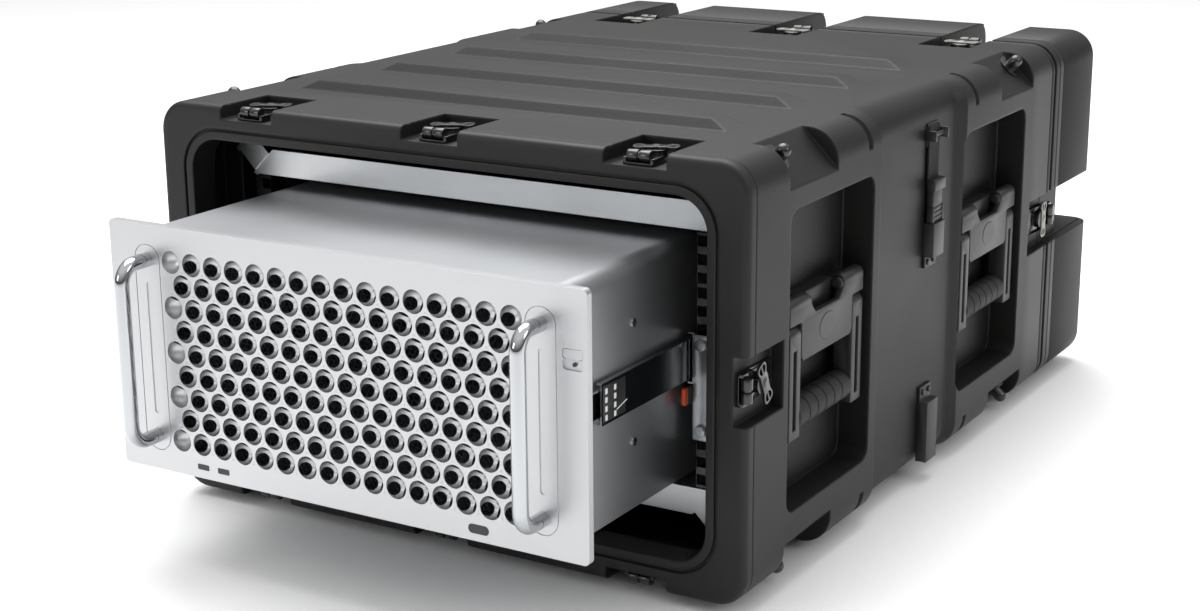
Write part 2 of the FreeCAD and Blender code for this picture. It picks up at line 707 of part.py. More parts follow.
def add_corner_cuts(shell):
    """Cut the corner flats, the isolator bolts' holes and the tie-down slots."""
    corners = []
    for sx in (-1, 1):
        for sz in (-1, 1):
            edge_z = "case_height" if sz > 0 else "0"
            corners.append(polygon(("%d * (case_width / 2 - flat_leg)" % sx, edge_z),
                                   ("%d * case_width / 2" % sx, edge_z),
                                   ("%d * case_width / 2" % sx, "%s - %d * flat_leg" % (edge_z, sz))))
    shell.pocket("XZ", "flat_near", "flat_far", *corners)
    shell.pocket("XZ", "body_depth - flat_far", "body_depth - flat_near", *corners)
    for sx in (-1, 1):
        for sz in (-1, 1):
            edge_z = "case_height" if sz > 0 else "0"
            for y in ("bolt_y", "body_depth - bolt_y"):
                turn = Rotation(Vector(0, 0, 1), Vector(-sx, 0, -sz))
                sizes = {"Radius": "bolt_radius + bolt_play", "Height": "2 * flat_wall"}
                x = "%d * (case_width / 2 - flat_leg / 2 - mount_shift + cut_over * diagonal)" % sx
                z = "%s - %d * (flat_leg / 2 - mount_shift - cut_over * diagonal)" % (edge_z, sz)
                shell.primitive("SubtractiveCylinder", sizes, x, y, z, turn)
            for y in ("tie_slot_y", "body_depth - tie_slot_y"):
                spin = {(1, 1): 0, (-1, 1): -90, (-1, -1): 180, (1, -1): 90}[(sx, sz)]
                turn = Rotation(Vector(0, 1, 0), spin) * Rotation(Vector(1, 0, 0), 90)
                sizes = {"Radius1": "edge_radius", "Radius2": "tie_slot_radius", "Angle3": "90"}
                shell.primitive("SubtractiveTorus", sizes, "%d * (case_width / 2 - edge_radius)" % sx, y,
                                "%s - %d * edge_radius" % (edge_z, sz), turn)


def case_shell():
    """The moulded body: bosses, waist, ribs, handle recesses, latch bays and corner flats."""
    shell = Blank("case_shell")
    wide = rounded("-case_width / 2", "case_width / 2", "0", "case_height", "edge_radius")
    slim = rounded("-waist_x", "waist_x", "0", "case_height", "edge_radius")
    shell.pad("XZ", "0", "boss_depth - waist_ramp", wide)
    shell.loft("XZ", "boss_depth - waist_ramp", "boss_depth", wide, slim)
    shell.pad("XZ", "boss_depth", "body_depth - boss_depth", slim)
    shell.loft("XZ", "body_depth - boss_depth", "body_depth - boss_depth + waist_ramp", slim, wide)
    shell.pad("XZ", "body_depth - boss_depth + waist_ramp", "body_depth", wide)
    ends = (0, number("body_depth"))
    shell.fillet("rim_round", lambda edge: any(lies_on(edge, "y", end) for end in ends))
    inner_half = "waist_x - wall"
    bevel = "flat_leg + flat_wall / diagonal - wall - wall - waist_inset"
    shell.pocket("XZ", "rim_depth", "body_depth - rim_depth", cavity_outline(inner_half, "wall", bevel))
    shell.pocket("XZ", "0", "body_depth", mouth_outline("0"))
    for y in ("recess_front_y", "recess_rear_y"):
        backing = rectangle(y + " - recess_length / 2 - recess_wall", y + " + recess_length / 2 + recess_wall",
                            "recess_z - recess_tall / 2 - recess_wall",
                            "recess_z + recess_tall / 2 + recess_wall")
        shell.pad("YZ", "recess_floor - recess_wall", "waist_x - weld", backing)
        shell.pad("YZ", "-(waist_x - weld)", "recess_wall - recess_floor", backing)
        outline = rounded(y + " - recess_length / 2", y + " + recess_length / 2",
                          "recess_z - recess_tall / 2", "recess_z + recess_tall / 2", "recess_corner")
        shell.pocket("YZ", "recess_floor", "case_width / 2 + cut_over", outline)
        shell.pocket("YZ", "-(case_width / 2 + cut_over)", "-recess_floor", outline)
    backs = []
    bays = []
    for name, axis, sign, shift in latch_sites():
        backing = site_box(axis, sign, shift, "bay_wall", "bay_depth + bay_wall")
        backs.append(rectangle(*inner_limits(backing, axis, sign)))
        bays.append(rectangle(*site_box(axis, sign, shift, "0", "bay_depth")))
    shell.pad("XZ", "rim_depth - weld", "bay_length + bay_wall", *backs)
    shell.pad("XZ", "body_depth - bay_length - bay_wall", "body_depth - rim_depth + weld", *backs)
    shell.pocket("XZ", "0", "bay_length", *bays)
    shell.pocket("XZ", "body_depth - bay_length", "body_depth", *bays)
    add_corner_cuts(shell)
    groove = (mouth_outline("groove_inset + groove_width"), mouth_outline("groove_inset"))
    shell.pocket("XZ", "0", "groove_depth", *groove)
    shell.pocket("XZ", "body_depth - groove_depth", "body_depth", *groove)
    return shell


def inner_limits(limits, axis, sign):
    """Keep a bay's backing block inside the outer surface."""
    left, right, low, high = limits
    if axis == "z":
        return (left, right, low, "case_height - skin") if sign > 0 else (left, right, "skin", high)
    if sign > 0:
        return left, "waist_x - skin", low, high
    return "skin - waist_x", right, low, high


def add_ribs(shell):
    """Raise the stacking ribs on the top and on the underside."""
    sizes = {"Xmin": "-rib_foot_half", "Xmax": "rib_foot_half", "Zmin": "-rib_foot / 2", "Zmax": "rib_foot / 2",
             "Ymin": "0", "Ymax": "rib_height", "X2min": "-rib_crest_half", "X2max": "rib_crest_half",
             "Z2min": "-rib_crest / 2", "Z2max": "rib_crest / 2"}
    for level, spin in (("case_height", 90), ("0", -90)):
        turn = Rotation(Vector(1, 0, 0), spin)
        wedge = shell.primitive("AdditiveWedge", sizes, "0", "rib_first", level, turn)
        shell.repeat([wedge], "Y", "rib_pitch", "rib_count")


def make_case():
    """The moulded shell with its ribs."""
    shell = case_shell()
    add_ribs(shell)
    keep("case_shell", in_case(shell.body))


def make_lid():
    """The rear lid, its gasket and the keepers that the latches pull on."""
    lid = Blank("rear_lid_shell")
    wide = rounded("-case_width / 2", "case_width / 2", "0", "case_height", "edge_radius")
    lid.pad("XZ", "lid_start", "lid_end", wide)
    rear = number("lid_end")
    lid.fillet("lid_round", lambda edge: lies_on(edge, "y", rear))
    lid.pocket("XZ", "lid_start + rim_depth", "lid_end - lid_wall",
               cavity_outline("case_width / 2 - lid_wall", "lid_wall", "edge_radius"))
    backs, bays, gaps, gap_backs = [], [], [], []
    for name, axis, sign, shift in latch_sites():
        backing = site_box(axis, sign, shift, "lid_wall", "lid_gap_depth + lid_wall")
        gap_backs.append(rectangle(*inner_limits(backing, axis, sign)))
        bays.append(rectangle(*site_box(axis, sign, shift, "0", "bay_depth")))
        gaps.append(rectangle(*site_box(axis, sign, shift, "0", "lid_gap_depth")))
    lid.pad("XZ", "lid_start + rim_depth - weld", "lid_end - lid_wall + weld", *gap_backs)
    lid.pocket("XZ", "lid_start", "lid_start + lid_bay_length", *bays)
    lid.pocket("XZ", "lid_start + lid_bay_length", "lid_end", *gaps)
    lid.pocket("XZ", "lid_start", "lid_start + rim_depth + cut_over", mouth_outline("0"))
    keep("rear_lid_shell", in_case(lid.body))

    gasket = Blank("lid_gasket")
    gasket.pad("XZ", "body_depth + play", "lid_start", mouth_outline("groove_inset + groove_width"),
               mouth_outline("groove_inset"))
    keep("lid_gasket", in_case(gasket.body))

    keepers = []
    for name, axis, sign, shift in latch_sites():
        keepers.append(keeper("keeper_" + name, axis, sign, shift))
    in_case(group("lid_keepers", *keepers))


def site_frame(axis, sign, shift, y, rear):
    """Position formulas and rotation of a latch's own frame: X across, Y inwards, Z outwards."""
    spin = {("z", 1): 0, ("x", 1): 90, ("z", -1): 180, ("x", -1): 270}[(axis, sign)]
    turn = Rotation(Vector(0, 1, 0), spin)
    if rear:
        turn = turn * Rotation(Vector(0, 0, 1), 180)
    if axis == "z":
        level = "case_height - bay_depth" if sign > 0 else "bay_depth"
        return (shift, y, level), turn
    return ("%d * (case_width / 2 - bay_depth)" % sign, y, "mid_z"), turn


def keeper(name, axis, sign, shift):
    """A latch keeper on the lid: a foot plate with an upright post."""
    at, turn = site_frame(axis, sign, shift, "body_depth - wing_rear_y", True)
    post_end = "-(claw_reach + roller_radius + play)"
    pieces = []
    foot, post = ("_foot", "keeper_length", "base_thick"), ("_post", "keeper_thick", "keeper_tall")
    for suffix, length, top in (foot, post):
        low = ("-claw_half", "%s - %s" % (post_end, length), "0")
        pieces.append(block(name + suffix, low, ("claw_half", post_end, top), turn, at))
    return joined(name, *pieces)


# --- Latches -------------------------------------------------------------------------------

def latch_base(name, at, turn, near, far):
    """A latch's base plate with two guides and the post that carries the wing."""
    plate = block(name + "_plate", ("-base_half", near, "0"), ("base_half", far, "base_thick"), turn, at)
    pieces = [plate]
    for side in (-1, 1):
        inner, outer = "base_half - guide_thick", "base_half"
        if side < 0:
            inner, outer = "-base_half", "guide_thick - base_half"
        pieces.append(block(name + "_guide%d" % (side + 1), (inner, near, "0"),
                            (outer, "-hub_radius - guide_gap", "base_thick + guide_height"), turn, at))
    pieces.append(rod(name + "_post", "hub_radius - guide_gap", "0", "base_thick + hub_height - play",
                      turn.multVec(Vector(0, 0, 1)), at))
    return joined(name, *pieces)


def latch_claw(name, at, turn):
    """A latch's claw: a tongue between the guides that ends in a grooved roller."""
    tongue = block(name + "_tongue", ("-claw_half", "-claw_reach", "base_thick"),
                   ("claw_half", "-hub_radius", "base_thick + claw_thick"), turn, at)
    centre = []
    lift = turn.multVec(Vector(0, 0, 1))
    pull = turn.multVec(Vector(0, 1, 0))
    for base, up, back in zip(at, lift, pull):
        height = "(base_thick + play + roller_radius) * %.9f" % up
        centre.append("(%s) + %s - claw_reach * %.9f" % (base, height, back))
    across = turn.multVec(Vector(1, 0, 0))
    roller = rod(name + "_roller", "roller_radius", "-roller_half", "2 * roller_half", across, centre)
    waist = rod(name + "_waist", "roller_radius + cut_over", "-groove_half", "2 * groove_half", across, centre)
    slim = rod(name + "_slim", "roller_radius - roller_groove", "-groove_half", "2 * groove_half", across,
               centre)
    return joined(name, tongue, minus(name + "_grooved", roller, waist), slim)


def latch_wing(label, at, turn, lean):
    """A latch's wing: a disc, a pierced butterfly plate and the rivet in its middle."""
    wing = Blank(label)
    foot = "base_thick + hub_height"
    under, top = foot + " + hub_thick", foot + " + hub_thick + wing_thick"
    wing.pad("XY", foot, under, disc("0", "0", "hub_radius"))
    plate = rounded("-wing_half", "wing_half", "-wing_width / 2", "wing_width / 2", "wing_width / 2 - 1")
    wing.pad("XY", under, top, plate)
    for side in (-1, 1):
        middle = "%d * (wing_half - window_inset)" % side
        window = rounded(middle + " - window_half", middle + " + window_half", "-wing_width / 4",
                         "wing_width / 4", "window_corner")
        wing.pocket("XY", under, top, window)
    wing.pad("XY", top, top + " + rivet_height", disc("0", "0", "hub_radius / 2 - guide_gap"))
    shift = ("0", "front_y", "rib_height")
    place(wing.body, *("(%s) + (%s)" % pair for pair in zip(at, shift)), turn * Rotation(Vector(0, 0, 1), lean))
    keep(label, wing.body)


def make_latches():
    """Eight latches on each rim: bases and claws in groups, every wing a piece of its own."""
    bases, claws = [], []
    for end, y, rear, near, far, lean in (
            ("front", "wing_front_y", False, "base_front - wing_front_y",
             "bay_length - wing_front_y - base_end", number("wing_lean")),
            ("rear", "body_depth - wing_rear_y", True, "base_rear - wing_rear_y",
             "bay_length - wing_rear_y - base_end", 0)):
        for name, axis, sign, shift in latch_sites():
            at, turn = site_frame(axis, sign, shift, y, rear)
            bases.append(latch_base("base_%s_%s" % (end, name), at, turn, near, far))
            claws.append(latch_claw("claw_%s_%s" % (end, name), at, turn))
            latch_wing("latch_wing_%s_%s" % (end, name), at, turn, lean)
    in_case(group("latch_bases", *bases))
    in_case(group("latch_claws", *claws))


# --- Isolators and inner frame -------------------------------------------------------------

def corner_sites():
    """Yield name, sign pair, y formula and the flat's middle for the eight isolators."""
    for side, sx in (("left", -1), ("right", 1)):
        for level, sz in (("low", -1), ("high", 1)):
            for end, y in (("front", "bolt_y"), ("rear", "body_depth - bolt_y")):
                at = ("%d * (case_width / 2 - flat_leg / 2 - mount_shift)" % sx, y,
                      "mid_z + %d * (case_height / 2 - flat_leg / 2 + mount_shift)" % sz)
                yield "_".join((end, level, side)), sx, sz, at


def make_isolators():
    """Rubber isolators in the corners, with their brackets, bolts, washers and dome nuts."""
    washers, nuts, mounts, brackets = [], [], [], []
    for name, sx, sz, at in corner_sites():
        out = Vector(sx, 0, sz)
        hole = rod("washer_hole_" + name, "bolt_radius", "-cut_over", "washer_thick + 2 * cut_over", out, at)
        disc_piece = rod("washer_disc_" + name, "washer_radius", "0", "washer_thick", out, at)
        washers.append(minus("washer_" + name, disc_piece, hole))
        stem = rod("bolt_stem_" + name, "bolt_radius", "-flat_wall", "flat_wall + washer_thick", out, at)
        nut = rod("nut_body_" + name, "nut_radius", "washer_thick", "nut_height", out, at)
        top = [("(%s) + (washer_thick + nut_height) * %.9f" % (base, share))
               for base, share in zip(at, Vector(out).normalize())]
        nuts.append(joined("nut_" + name, stem, nut, ball("nut_dome_" + name, "nut_radius", top)))
        head = "-flat_wall - mount_length"
        mounts.append(rod("mount_" + name, "mount_radius", head, "mount_length", out, at))
        under = head + " - bracket_thick"
        half = "bracket_half"
        pieces = [diagonal_block("plate_" + name, out, at, ("-" + half, half), "mount_radius", (under, head))]
        for i, along in enumerate((("-" + half, "cheek_thick - " + half), (half + " - cheek_thick", half))):
            pieces.append(diagonal_block("cheek%d_%s" % (i, name), out, at, along, "mount_radius - cheek_inset",
                                         ("-corner_gap", under)))
        brackets.append(joined("bracket_" + name, *pieces))
    in_case(group("corner_washers", *washers))
    in_case(group("corner_nuts", *nuts))
    in_case(group("shock_mounts", *mounts))
    in_case(group("mount_brackets", *brackets))


def diagonal_block(name, out, at, along, half, depth):
    """A box in a corner's frame: bound along Y, centred across, between two depths."""
    outward = Vector(out).normalize()
    across = Vector(0, 1, 0).cross(outward)
    frame = Rotation(across, Vector(0, 1, 0), outward, "ZYX")
    return block(name, ("-(%s)" % half, along[0], depth[0]), (half, along[1], depth[1]), frame, at)


def behind_face(front, deep):
    """Limits along the case of a piece that goes a given depth behind a face plane."""
    if front:
        return "frame_front", "frame_front + " + deep
    return "frame_rear - " + deep, "frame_rear"


def cross_plate(name, end, level):
    """A cross plate: a bevelled face and a flange along the bay."""
    sz = 1 if level == "high" else -1
    front = end == "front"
    plate = Blank(name)
    near = "mid_z + %d * bay_half" % sz
    far = "mid_z + %d * (bay_half + plate_tall)" % sz
    face = polygon(("-plate_half", near), ("plate_half", near), ("plate_half - plate_tall", far),
                   ("plate_tall - plate_half", far))
    plate.pad("XZ", *behind_face(front, "plate_thick"), face)
    inner, outer = ("mid_z + bay_half", "mid_z + bay_half + plate_thick") if sz > 0 else (
        "mid_z - bay_half - plate_thick", "mid_z - bay_half")
    plate.pad("XZ", *behind_face(front, "plate_flange"),
              rectangle("-plate_half + plate_tall", "plate_half - plate_tall", inner, outer))
    return plate.body


def rail(name, front):
    """A rack rail: an angle section with three square holes in every height unit."""
    blank = Blank(name)
    flange, web = behind_face(front, "rail_thick"), behind_face(front, "plate_flange")
    low, high = "mid_z - rail_half", "mid_z + rail_half"
    blank.pad("XY", low, high, rectangle("rail_inner", "rail_outer", *flange))
    blank.pad("XY", low, high, rectangle("rail_outer - rail_thick", "rail_outer", *web))
    holes = []
    for step in range(3):
        middle = "rack_low + hole_first + %d * hole_step" % step
        holes.append(rectangle("hole_x - cage_hole / 2", "hole_x + cage_hole / 2",
                               middle + " - cage_hole / 2", middle + " + cage_hole / 2"))
    pocket = blank.pocket("XZ", *flange, *holes)
    blank.repeat([pocket], "Z", "rack_unit", "rack_units")
    return in_case(blank.body)


def make_frame():
    """Cross plates, side members and rack rails."""
    for end in ("front", "rear"):
        plates = [cross_plate("cross_%s_%s" % (end, level), end, level) for level in ("low", "high")]
        in_case(group("cross_plates_" + end, *plates))
        right = rail("rail_%s_right" % end, end == "front")
        group("rails_" + end, right, mirrored("rail_%s_left" % end, right))
    sides = []
    for side, sx in (("left", -1), ("right", 1)):
        for level, sz in (("low", -1), ("high", 1)):
            name = "side_%s_%s" % (level, side)
            member = Blank(name)
            outline = (("plate_half", "bay_half"),
                       ("plate_half - plate_tall", "bay_half + plate_tall"),
                       ("plate_half - plate_tall", "bay_half + plate_tall - side_thick / diagonal"),
                       ("plate_half - side_thick", "bay_half + side_thick - side_thick / diagonal"),
                       ("plate_half - side_thick", "bay_half - side_flange"),
                       ("plate_half", "bay_half - side_flange"))
            strip = [("%d * (%s)" % (sx, x), "mid_z + %d * (%s)" % (sz, z)) for x, z in outline]
            member.pad("XZ", "frame_front + plate_thick", "frame_rear - plate_thick", polygon(*strip))
            sides.append(member.body)
    in_case(group("frame_sides", *sides))


# --- Slides --------------------------------------------------------------------------------

def channel(name, web, lip, half, start, length):
    """A slide member on the right: a web with two lips that reach towards another member."""
    inward = number(lip) < number(web[0])
    edge = lip
    back = web[1] if inward else web[0]
    face = web[0] if inward else web[1]
    member = Blank(name)
    low, high = "slide_z - " + half, "slide_z + " + half
    outline = polygon((edge, low), (back, low), (back, high), (edge, high), (edge, high + " - member_thick"),
                      (face, high + " - member_thick"), (face, low + " + member_thick"),
                      (edge, low + " + member_thick"))
    member.pad("XZ", start, "%s + %s" % (start, length), outline)
    return in_case(member.body)


def pair(label, right):
    """A sub-part of a piece on the right and its mirror image on the left."""
    return group(label, right, mirrored(label + "_mirror", right))


def rack_hole(unit, step):
    """Height of a rack hole, counted from the lowest unit."""
    return "rack_low + %d * rack_unit + hole_first + %d * hole_step" % (unit, step)


def screw(name, at, direction):
    """A screw whose head sits on a surface at a point and whose thread goes behind it."""
    top = rod(name + "_head", "screw_radius", "0", "screw_head", direction, at)
    thread = rod(name + "_thread", "screw_shaft", "-screw_length", "screw_length", direction, at)
    return joined(name, top, thread)


def slide_bracket(name, front):
    """A bracket at one end of the right slide: an ear on the rail and a web behind it."""
    outward = -1 if front else 1
    face = "frame_front" if front else "frame_rear"
    outer = "%s + %d * ear_thick" % (face, outward)
    far = "frame_front + web_reach" if front else "frame_rear - rear_web_reach"
    limits = (outer, face) if front else (face, outer)
    web = (outer, far) if front else (far, outer)
    ear = block(name + "_ear", ("web_x", limits[0], "ear_low"), ("ear_outer", limits[1], "ear_high"))
    back = block(name + "_web", ("web_x", web[0], "ear_low"), ("web_x + web_thick", web[1], "ear_high"))
    holes = []
    for unit, step in ((1, 0), (2, 2)):
        spot = ("hole_x", face, rack_hole(unit, step))
        holes.append(rod("%s_hole%d" % (name, unit), "screw_shaft + screw_play", "-ear_thick - cut_over",
                         "2 * (ear_thick + cut_over)", Vector(0, 1, 0), spot))
    return ear, back, holes


def make_slides():
    """Telescopic slides on both sides, their brackets, screws and release levers."""
    inner_back = "unit_half"
    middle_web = ("unit_half + inner_gap", "unit_half + inner_gap + member_thick")
    outer_web = ("web_x - member_thick", "web_x")
    outer = channel("slide_outer", outer_web, "web_x - lip_reach - member_thick", "outer_half", "frame_front",
                    "slide_length")
    middle = channel("slide_middle", middle_web, "unit_half + inner_gap - middle_lip", "middle_half",
                     "-middle_lead", "member_length")
    inner = channel("slide_inner", (inner_back, inner_back + " + member_thick"), inner_back + " + inner_lip",
                    "inner_half", "panel_thick - panel_reach", "member_length")
    pair("slide_outers", outer)
    pair("slide_mids", middle)
    pair("slide_inners", inner)

    brackets, screws = [], []
    for end, front in (("front", True), ("rear", False)):
        ear, back, holes = slide_bracket("bracket_" + end, front)
        whole = [ear, back]
        if front:
            whole.append(block("lever_tab_block",
                               ("lever_x - lever_hub", "lever_y - lever_hub", "lever_low - play - lever_tab"),
                               ("web_x", "lever_y + lever_hub", "lever_low - play")))
            whole.append(rod("lever_pin", "lever_pin", "-play - weld", "lever_high - lever_low + play",
                             Vector(0, 0, 1), ("lever_x", "lever_y", "lever_low")))
        brackets.append(minus("slide_bracket_" + end, joined("bracket_%s_blank" % end, *whole), *holes))
        outward = Vector(0, -1 if front else 1, 0)
        face = "frame_front - ear_thick" if front else "frame_rear + ear_thick"
        for unit, step in ((1, 0), (2, 2)):
            spot = ("hole_x", face, rack_hole(unit, step))
            screws.append(screw("bracket_screw_%s%d" % (end, unit), spot, outward))
    for label, pieces in (("slide_brackets", brackets), ("slide_bracket_screws", screws)):
        right = in_case(compound(label + "_right", pieces))
        pair(label, right)

    arm = block("lever_arm", ("lever_x + lever_pin + lever_clear", "lever_nose", "lever_low"),
                ("lever_x + lever_hub", "lever_y", "lever_high"))
    nose = block("lever_nose_tab", ("lever_x - nose_reach", "lever_nose", "lever_low"),
                 ("lever_x + lever_hub", "lever_nose + nose_length", "lever_high"))
    hub = rod("lever_hub_solid", "lever_hub", "0", "lever_high - lever_low", Vector(0, 0, 1),
              ("lever_x", "lever_y", "lever_low"))
    bore = rod("lever_bore", "lever_pin + pin_play", "-cut_over", "lever_high - lever_low + 2 * cut_over",
               Vector(0, 0, 1), ("lever_x", "lever_y", "lever_low"))
    lever = in_case(minus("release_lever_right", joined("lever_blank", arm, nose, hub), bore))
    keep("release_lever_right", lever)
    keep("release_lever_left", mirrored("release_lever_left", lever))


# --- Equipment unit ------------------------------------------------------------------------

def cut_grille(panel):
    """Cut the grille: dishes in the face that meet dishes from the rear, in interleaved rows."""
    long, short = "grille_holes", "(grille_holes - 1)"
    for y, drop, counts in (("0", "0", (long, short)), ("grille_thick", "row_pitch / 3", (short, long))):
        for first, rows in ((0, "grille_rows / 2 + 0.5"), (1, "grille_rows / 2 - 0.5")):
            count = counts[first]
            seed = panel.primitive("SubtractiveSphere", {"Radius": "dish_radius"},
                                   "-(%s - 1) * grille_pitch / 2" % count, y,
                                   "(grille_rows / 2 - %.1f) * row_pitch - %s" % (0.5 + first, drop))
            panel.lattice(seed, ("X", "grille_pitch", count), ("Z", "2 * row_pitch", rows))


def make_panel():
    """The unit's front panel with its grille, grooves, key well and sockets."""
    panel = Blank("front_panel")
    panel.pad("XZ", "0", "panel_thick",
              rounded("-panel_width / 2", "panel_width / 2", "-panel_height / 2", "panel_height / 2",
                      "panel_corner"))
    panel.pad("XZ", "panel_thick", "grille_thick",
              rectangle("-grille_half", "grille_half", "-grille_half / 2", "grille_half / 2"))
    rings, slots = [], []
    for side in (-1, 1):
        middle = "%d * grip_x" % side
        for inset in ("0", "inlay_line"):
            half, tall = "(inlay_half - %s)" % inset, "(inlay_tall / 2 - %s)" % inset
            rings.append(rounded(middle + " - " + half, middle + " + " + half, "-" + tall, tall,
                                 half + " - round_short"))
        slots.append(rounded(middle + " - slot_half", middle + " + slot_half", "-slot_reach", "slot_reach",
                             "slot_half - round_short"))
    panel.pocket("XZ", "0", "inlay_line", *rings)
    panel.pocket("XZ", "0", "inlay_line", *slots)
    panel.pocket("XZ", "0", "2 * inlay_line",
                 rounded("key_x - key_width / 2", "key_x + key_width / 2", "key_z - key_drop + key_tall / 2",
                         "key_z - key_tall / 2", "dish_corner"))
    panel.pocket("XZ", "0", "panel_thick - well_skin",
                 rounded("key_x - key_width / 2", "key_x + key_width / 2", "key_z - key_tall / 2",
                         "key_z + key_tall / 2", "key_corner"))
    panel.pocket("XZ", "0", "insert_depth", *insert_outlines())
    cut_grille(panel)
    keep("front_panel", in_unit(panel.body))

    inserts = Blank("panel_inserts")
    inserts.pad("XZ", "0", "insert_depth", *insert_outlines())
    keep("panel_inserts", in_unit(inserts.body))

    key = Blank("power_key")
    key.pad("XZ", "play", "panel_thick - well_skin - play - key_travel",
            rounded("key_x - key_width / 2 + play", "key_x + key_width / 2 - play",
                    "key_z - key_tall / 2 + play", "key_z + key_tall / 2 - play", "key_corner - play"))
    keep("power_key", in_unit(key.body))

    mesh = Blank("grille_mesh")
    mesh.pad("XZ", "grille_thick", "grille_thick + screen_thick",
             rectangle("-grille_half", "grille_half", "-grille_half / 2", "grille_half / 2"))
    keep("grille_mesh", in_unit(mesh.body))


def insert_outlines():
    """Outlines of the pieces set flush into the panel: two ports, a lamp and a badge."""
    outlines = []
    for x in ("port_x", "jack_x"):
        outlines.append(rounded(x + " - port_half", x + " + port_half", "port_z - port_half_tall",
                                "port_z + port_half_tall", "port_corner"))
    outlines.append(disc("key_x + lamp_shift", "lamp_z", "lamp_radius"))
    outlines.append(rounded("badge_x - badge_half", "badge_x + badge_half", "port_z - badge_half_tall",
                            "port_z + badge_half_tall", "badge_half_tall - round_short"))
    return outlines


def make_grips():
    """The two bright handles of the front panel."""
    grips = []
    for side in (-1, 1):
        name = "panel_handle%d" % (side + 1)
        x = "%d * grip_x" % side
        depth = "grip_bend - grip_reach"
        bar_end = "grip_half - grip_bend"
        pieces = [rod(name + "_bar", "grip_radius", "-(%s)" % bar_end, "2 * (%s)" % bar_end, Vector(0, 0, 1),
                      (x, "-grip_reach", "0"))]
        for up in (-1, 1):
            z = "%d * grip_half" % up
            pieces.append(rod("%s_leg%d" % (name, up + 1), "grip_radius", "0", "grip_reach - grip_bend",
                              Vector(0, -1, 0), (x, "0", z)))
            bend = DOC.addObject("Part::Torus", "%s_bend%d" % (name, up + 1))
            bind(bend, "Radius1", "grip_bend")
            bind(bend, "Radius2", "grip_radius")
            bind(bend, "Angle3", "90")
            turn = Rotation(Vector(0, 0, up), Vector(0, -1, 0), Vector(up, 0, 0), "ZXY")
            place(bend, x, depth, "%d * (%s)" % (up, bar_end), turn)
            pieces.append(bend)
        grips.append(joined(name, *pieces))
    in_unit(group("panel_handles", *grips))


def make_housing():
    """The unit's folded tub and its cover."""
    seam = "unit_half_height - cover_drop"
    tub = Blank("unit_tub")
    tub.pad("XZ", "panel_thick", "unit_depth", rectangle("-unit_half", "unit_half", "-unit_half_height", seam))
    tub.pocket("XZ", "panel_thick", "unit_depth - unit_sheet",
               rectangle("unit_sheet - unit_half", "unit_half - unit_sheet", "unit_sheet - unit_half_height",
                         seam))
    keep("unit_tub", in_unit(tub.body))

    cover = Blank("unit_cover")
    cover.pad("XZ", "panel_thick", "unit_depth", rectangle("-unit_half", "unit_half", seam, "unit_half_height"))
    top, half = number("unit_half_height"), number("unit_half")
    cover.fillet("cover_radius", lambda edge: lies_on(edge, "z", top)
                 and (lies_on(edge, "x", half) or lies_on(edge, "x", -half)))
    cover.pocket("XZ", "panel_thick", "unit_depth - unit_sheet",
                 rounded("unit_sheet - unit_half", "unit_half - unit_sheet", seam + " - 2 * cover_radius",
                         "unit_half_height - unit_sheet", "cover_radius - unit_sheet"))
    keep("unit_cover", in_unit(cover.body))

    heads = []
    for side in (-1, 1):
        for y in ("side_screw_y", "unit_depth - side_screw_y"):
            for z in ("side_screw_high", "side_screw_low"):
                at = ("%d * unit_half" % side, y, z)
                heads.append(rod("unit_screw%d" % len(heads), "side_screw_radius", "0", "side_screw_head",
                                 Vector(side, 0, 0), at))
    in_unit(group("unit_screws", *heads))


# --- Spring handles ------------------------------------------------------------------------

def handle_plate(name, y):
    """A spring handle's hinge plate on the right: face, legs and the hinge pins."""
    top = "recess_z + handle_top"
    half = [("handle_half", top), ("handle_half", top + " - ear_drop"), ("skirt_half", top + " - ear_drop"),
            ("skirt_half", top + " - skirt_drop")]
    notch = [("notch_half + notch_slope", top), ("notch_half", top + " - notch_drop")]
    right = [(y + " + " + across, up) for across, up in notch[::-1] + half]
    left = [("%s - (%s)" % (y, across), up) for across, up in half[::-1] + notch]
    face = Blank(name + "_face")
    face.pad("YZ", "face_x - plate_depth", "face_x", polygon(*(right + left)))
    in_case(face.body)
    pieces = []
    for side in (-1, 1):
        inner, outer = "skirt_half - leg_width", "skirt_half"
        if side < 0:
            inner, outer = "-skirt_half", "leg_width - skirt_half"
        pieces.append(block("%s_leg%d" % (name, side + 1),
                            ("recess_floor", "%s + %s" % (y, inner), "hinge_z - leg_half"),
                            ("face_x - plate_depth", "%s + %s" % (y, outer), "hinge_z + leg_half")))
        pieces.append(rod("%s_pin%d" % (name, side + 1), "pin_radius", "skirt_half - pin_root",
                          "handle_half - skirt_half + pin_root", Vector(0, side, 0), ("hinge_x", y, "hinge_z")))
    rest = in_case(joined(name + "_back", *pieces))
    return joined(name, face.body, rest)


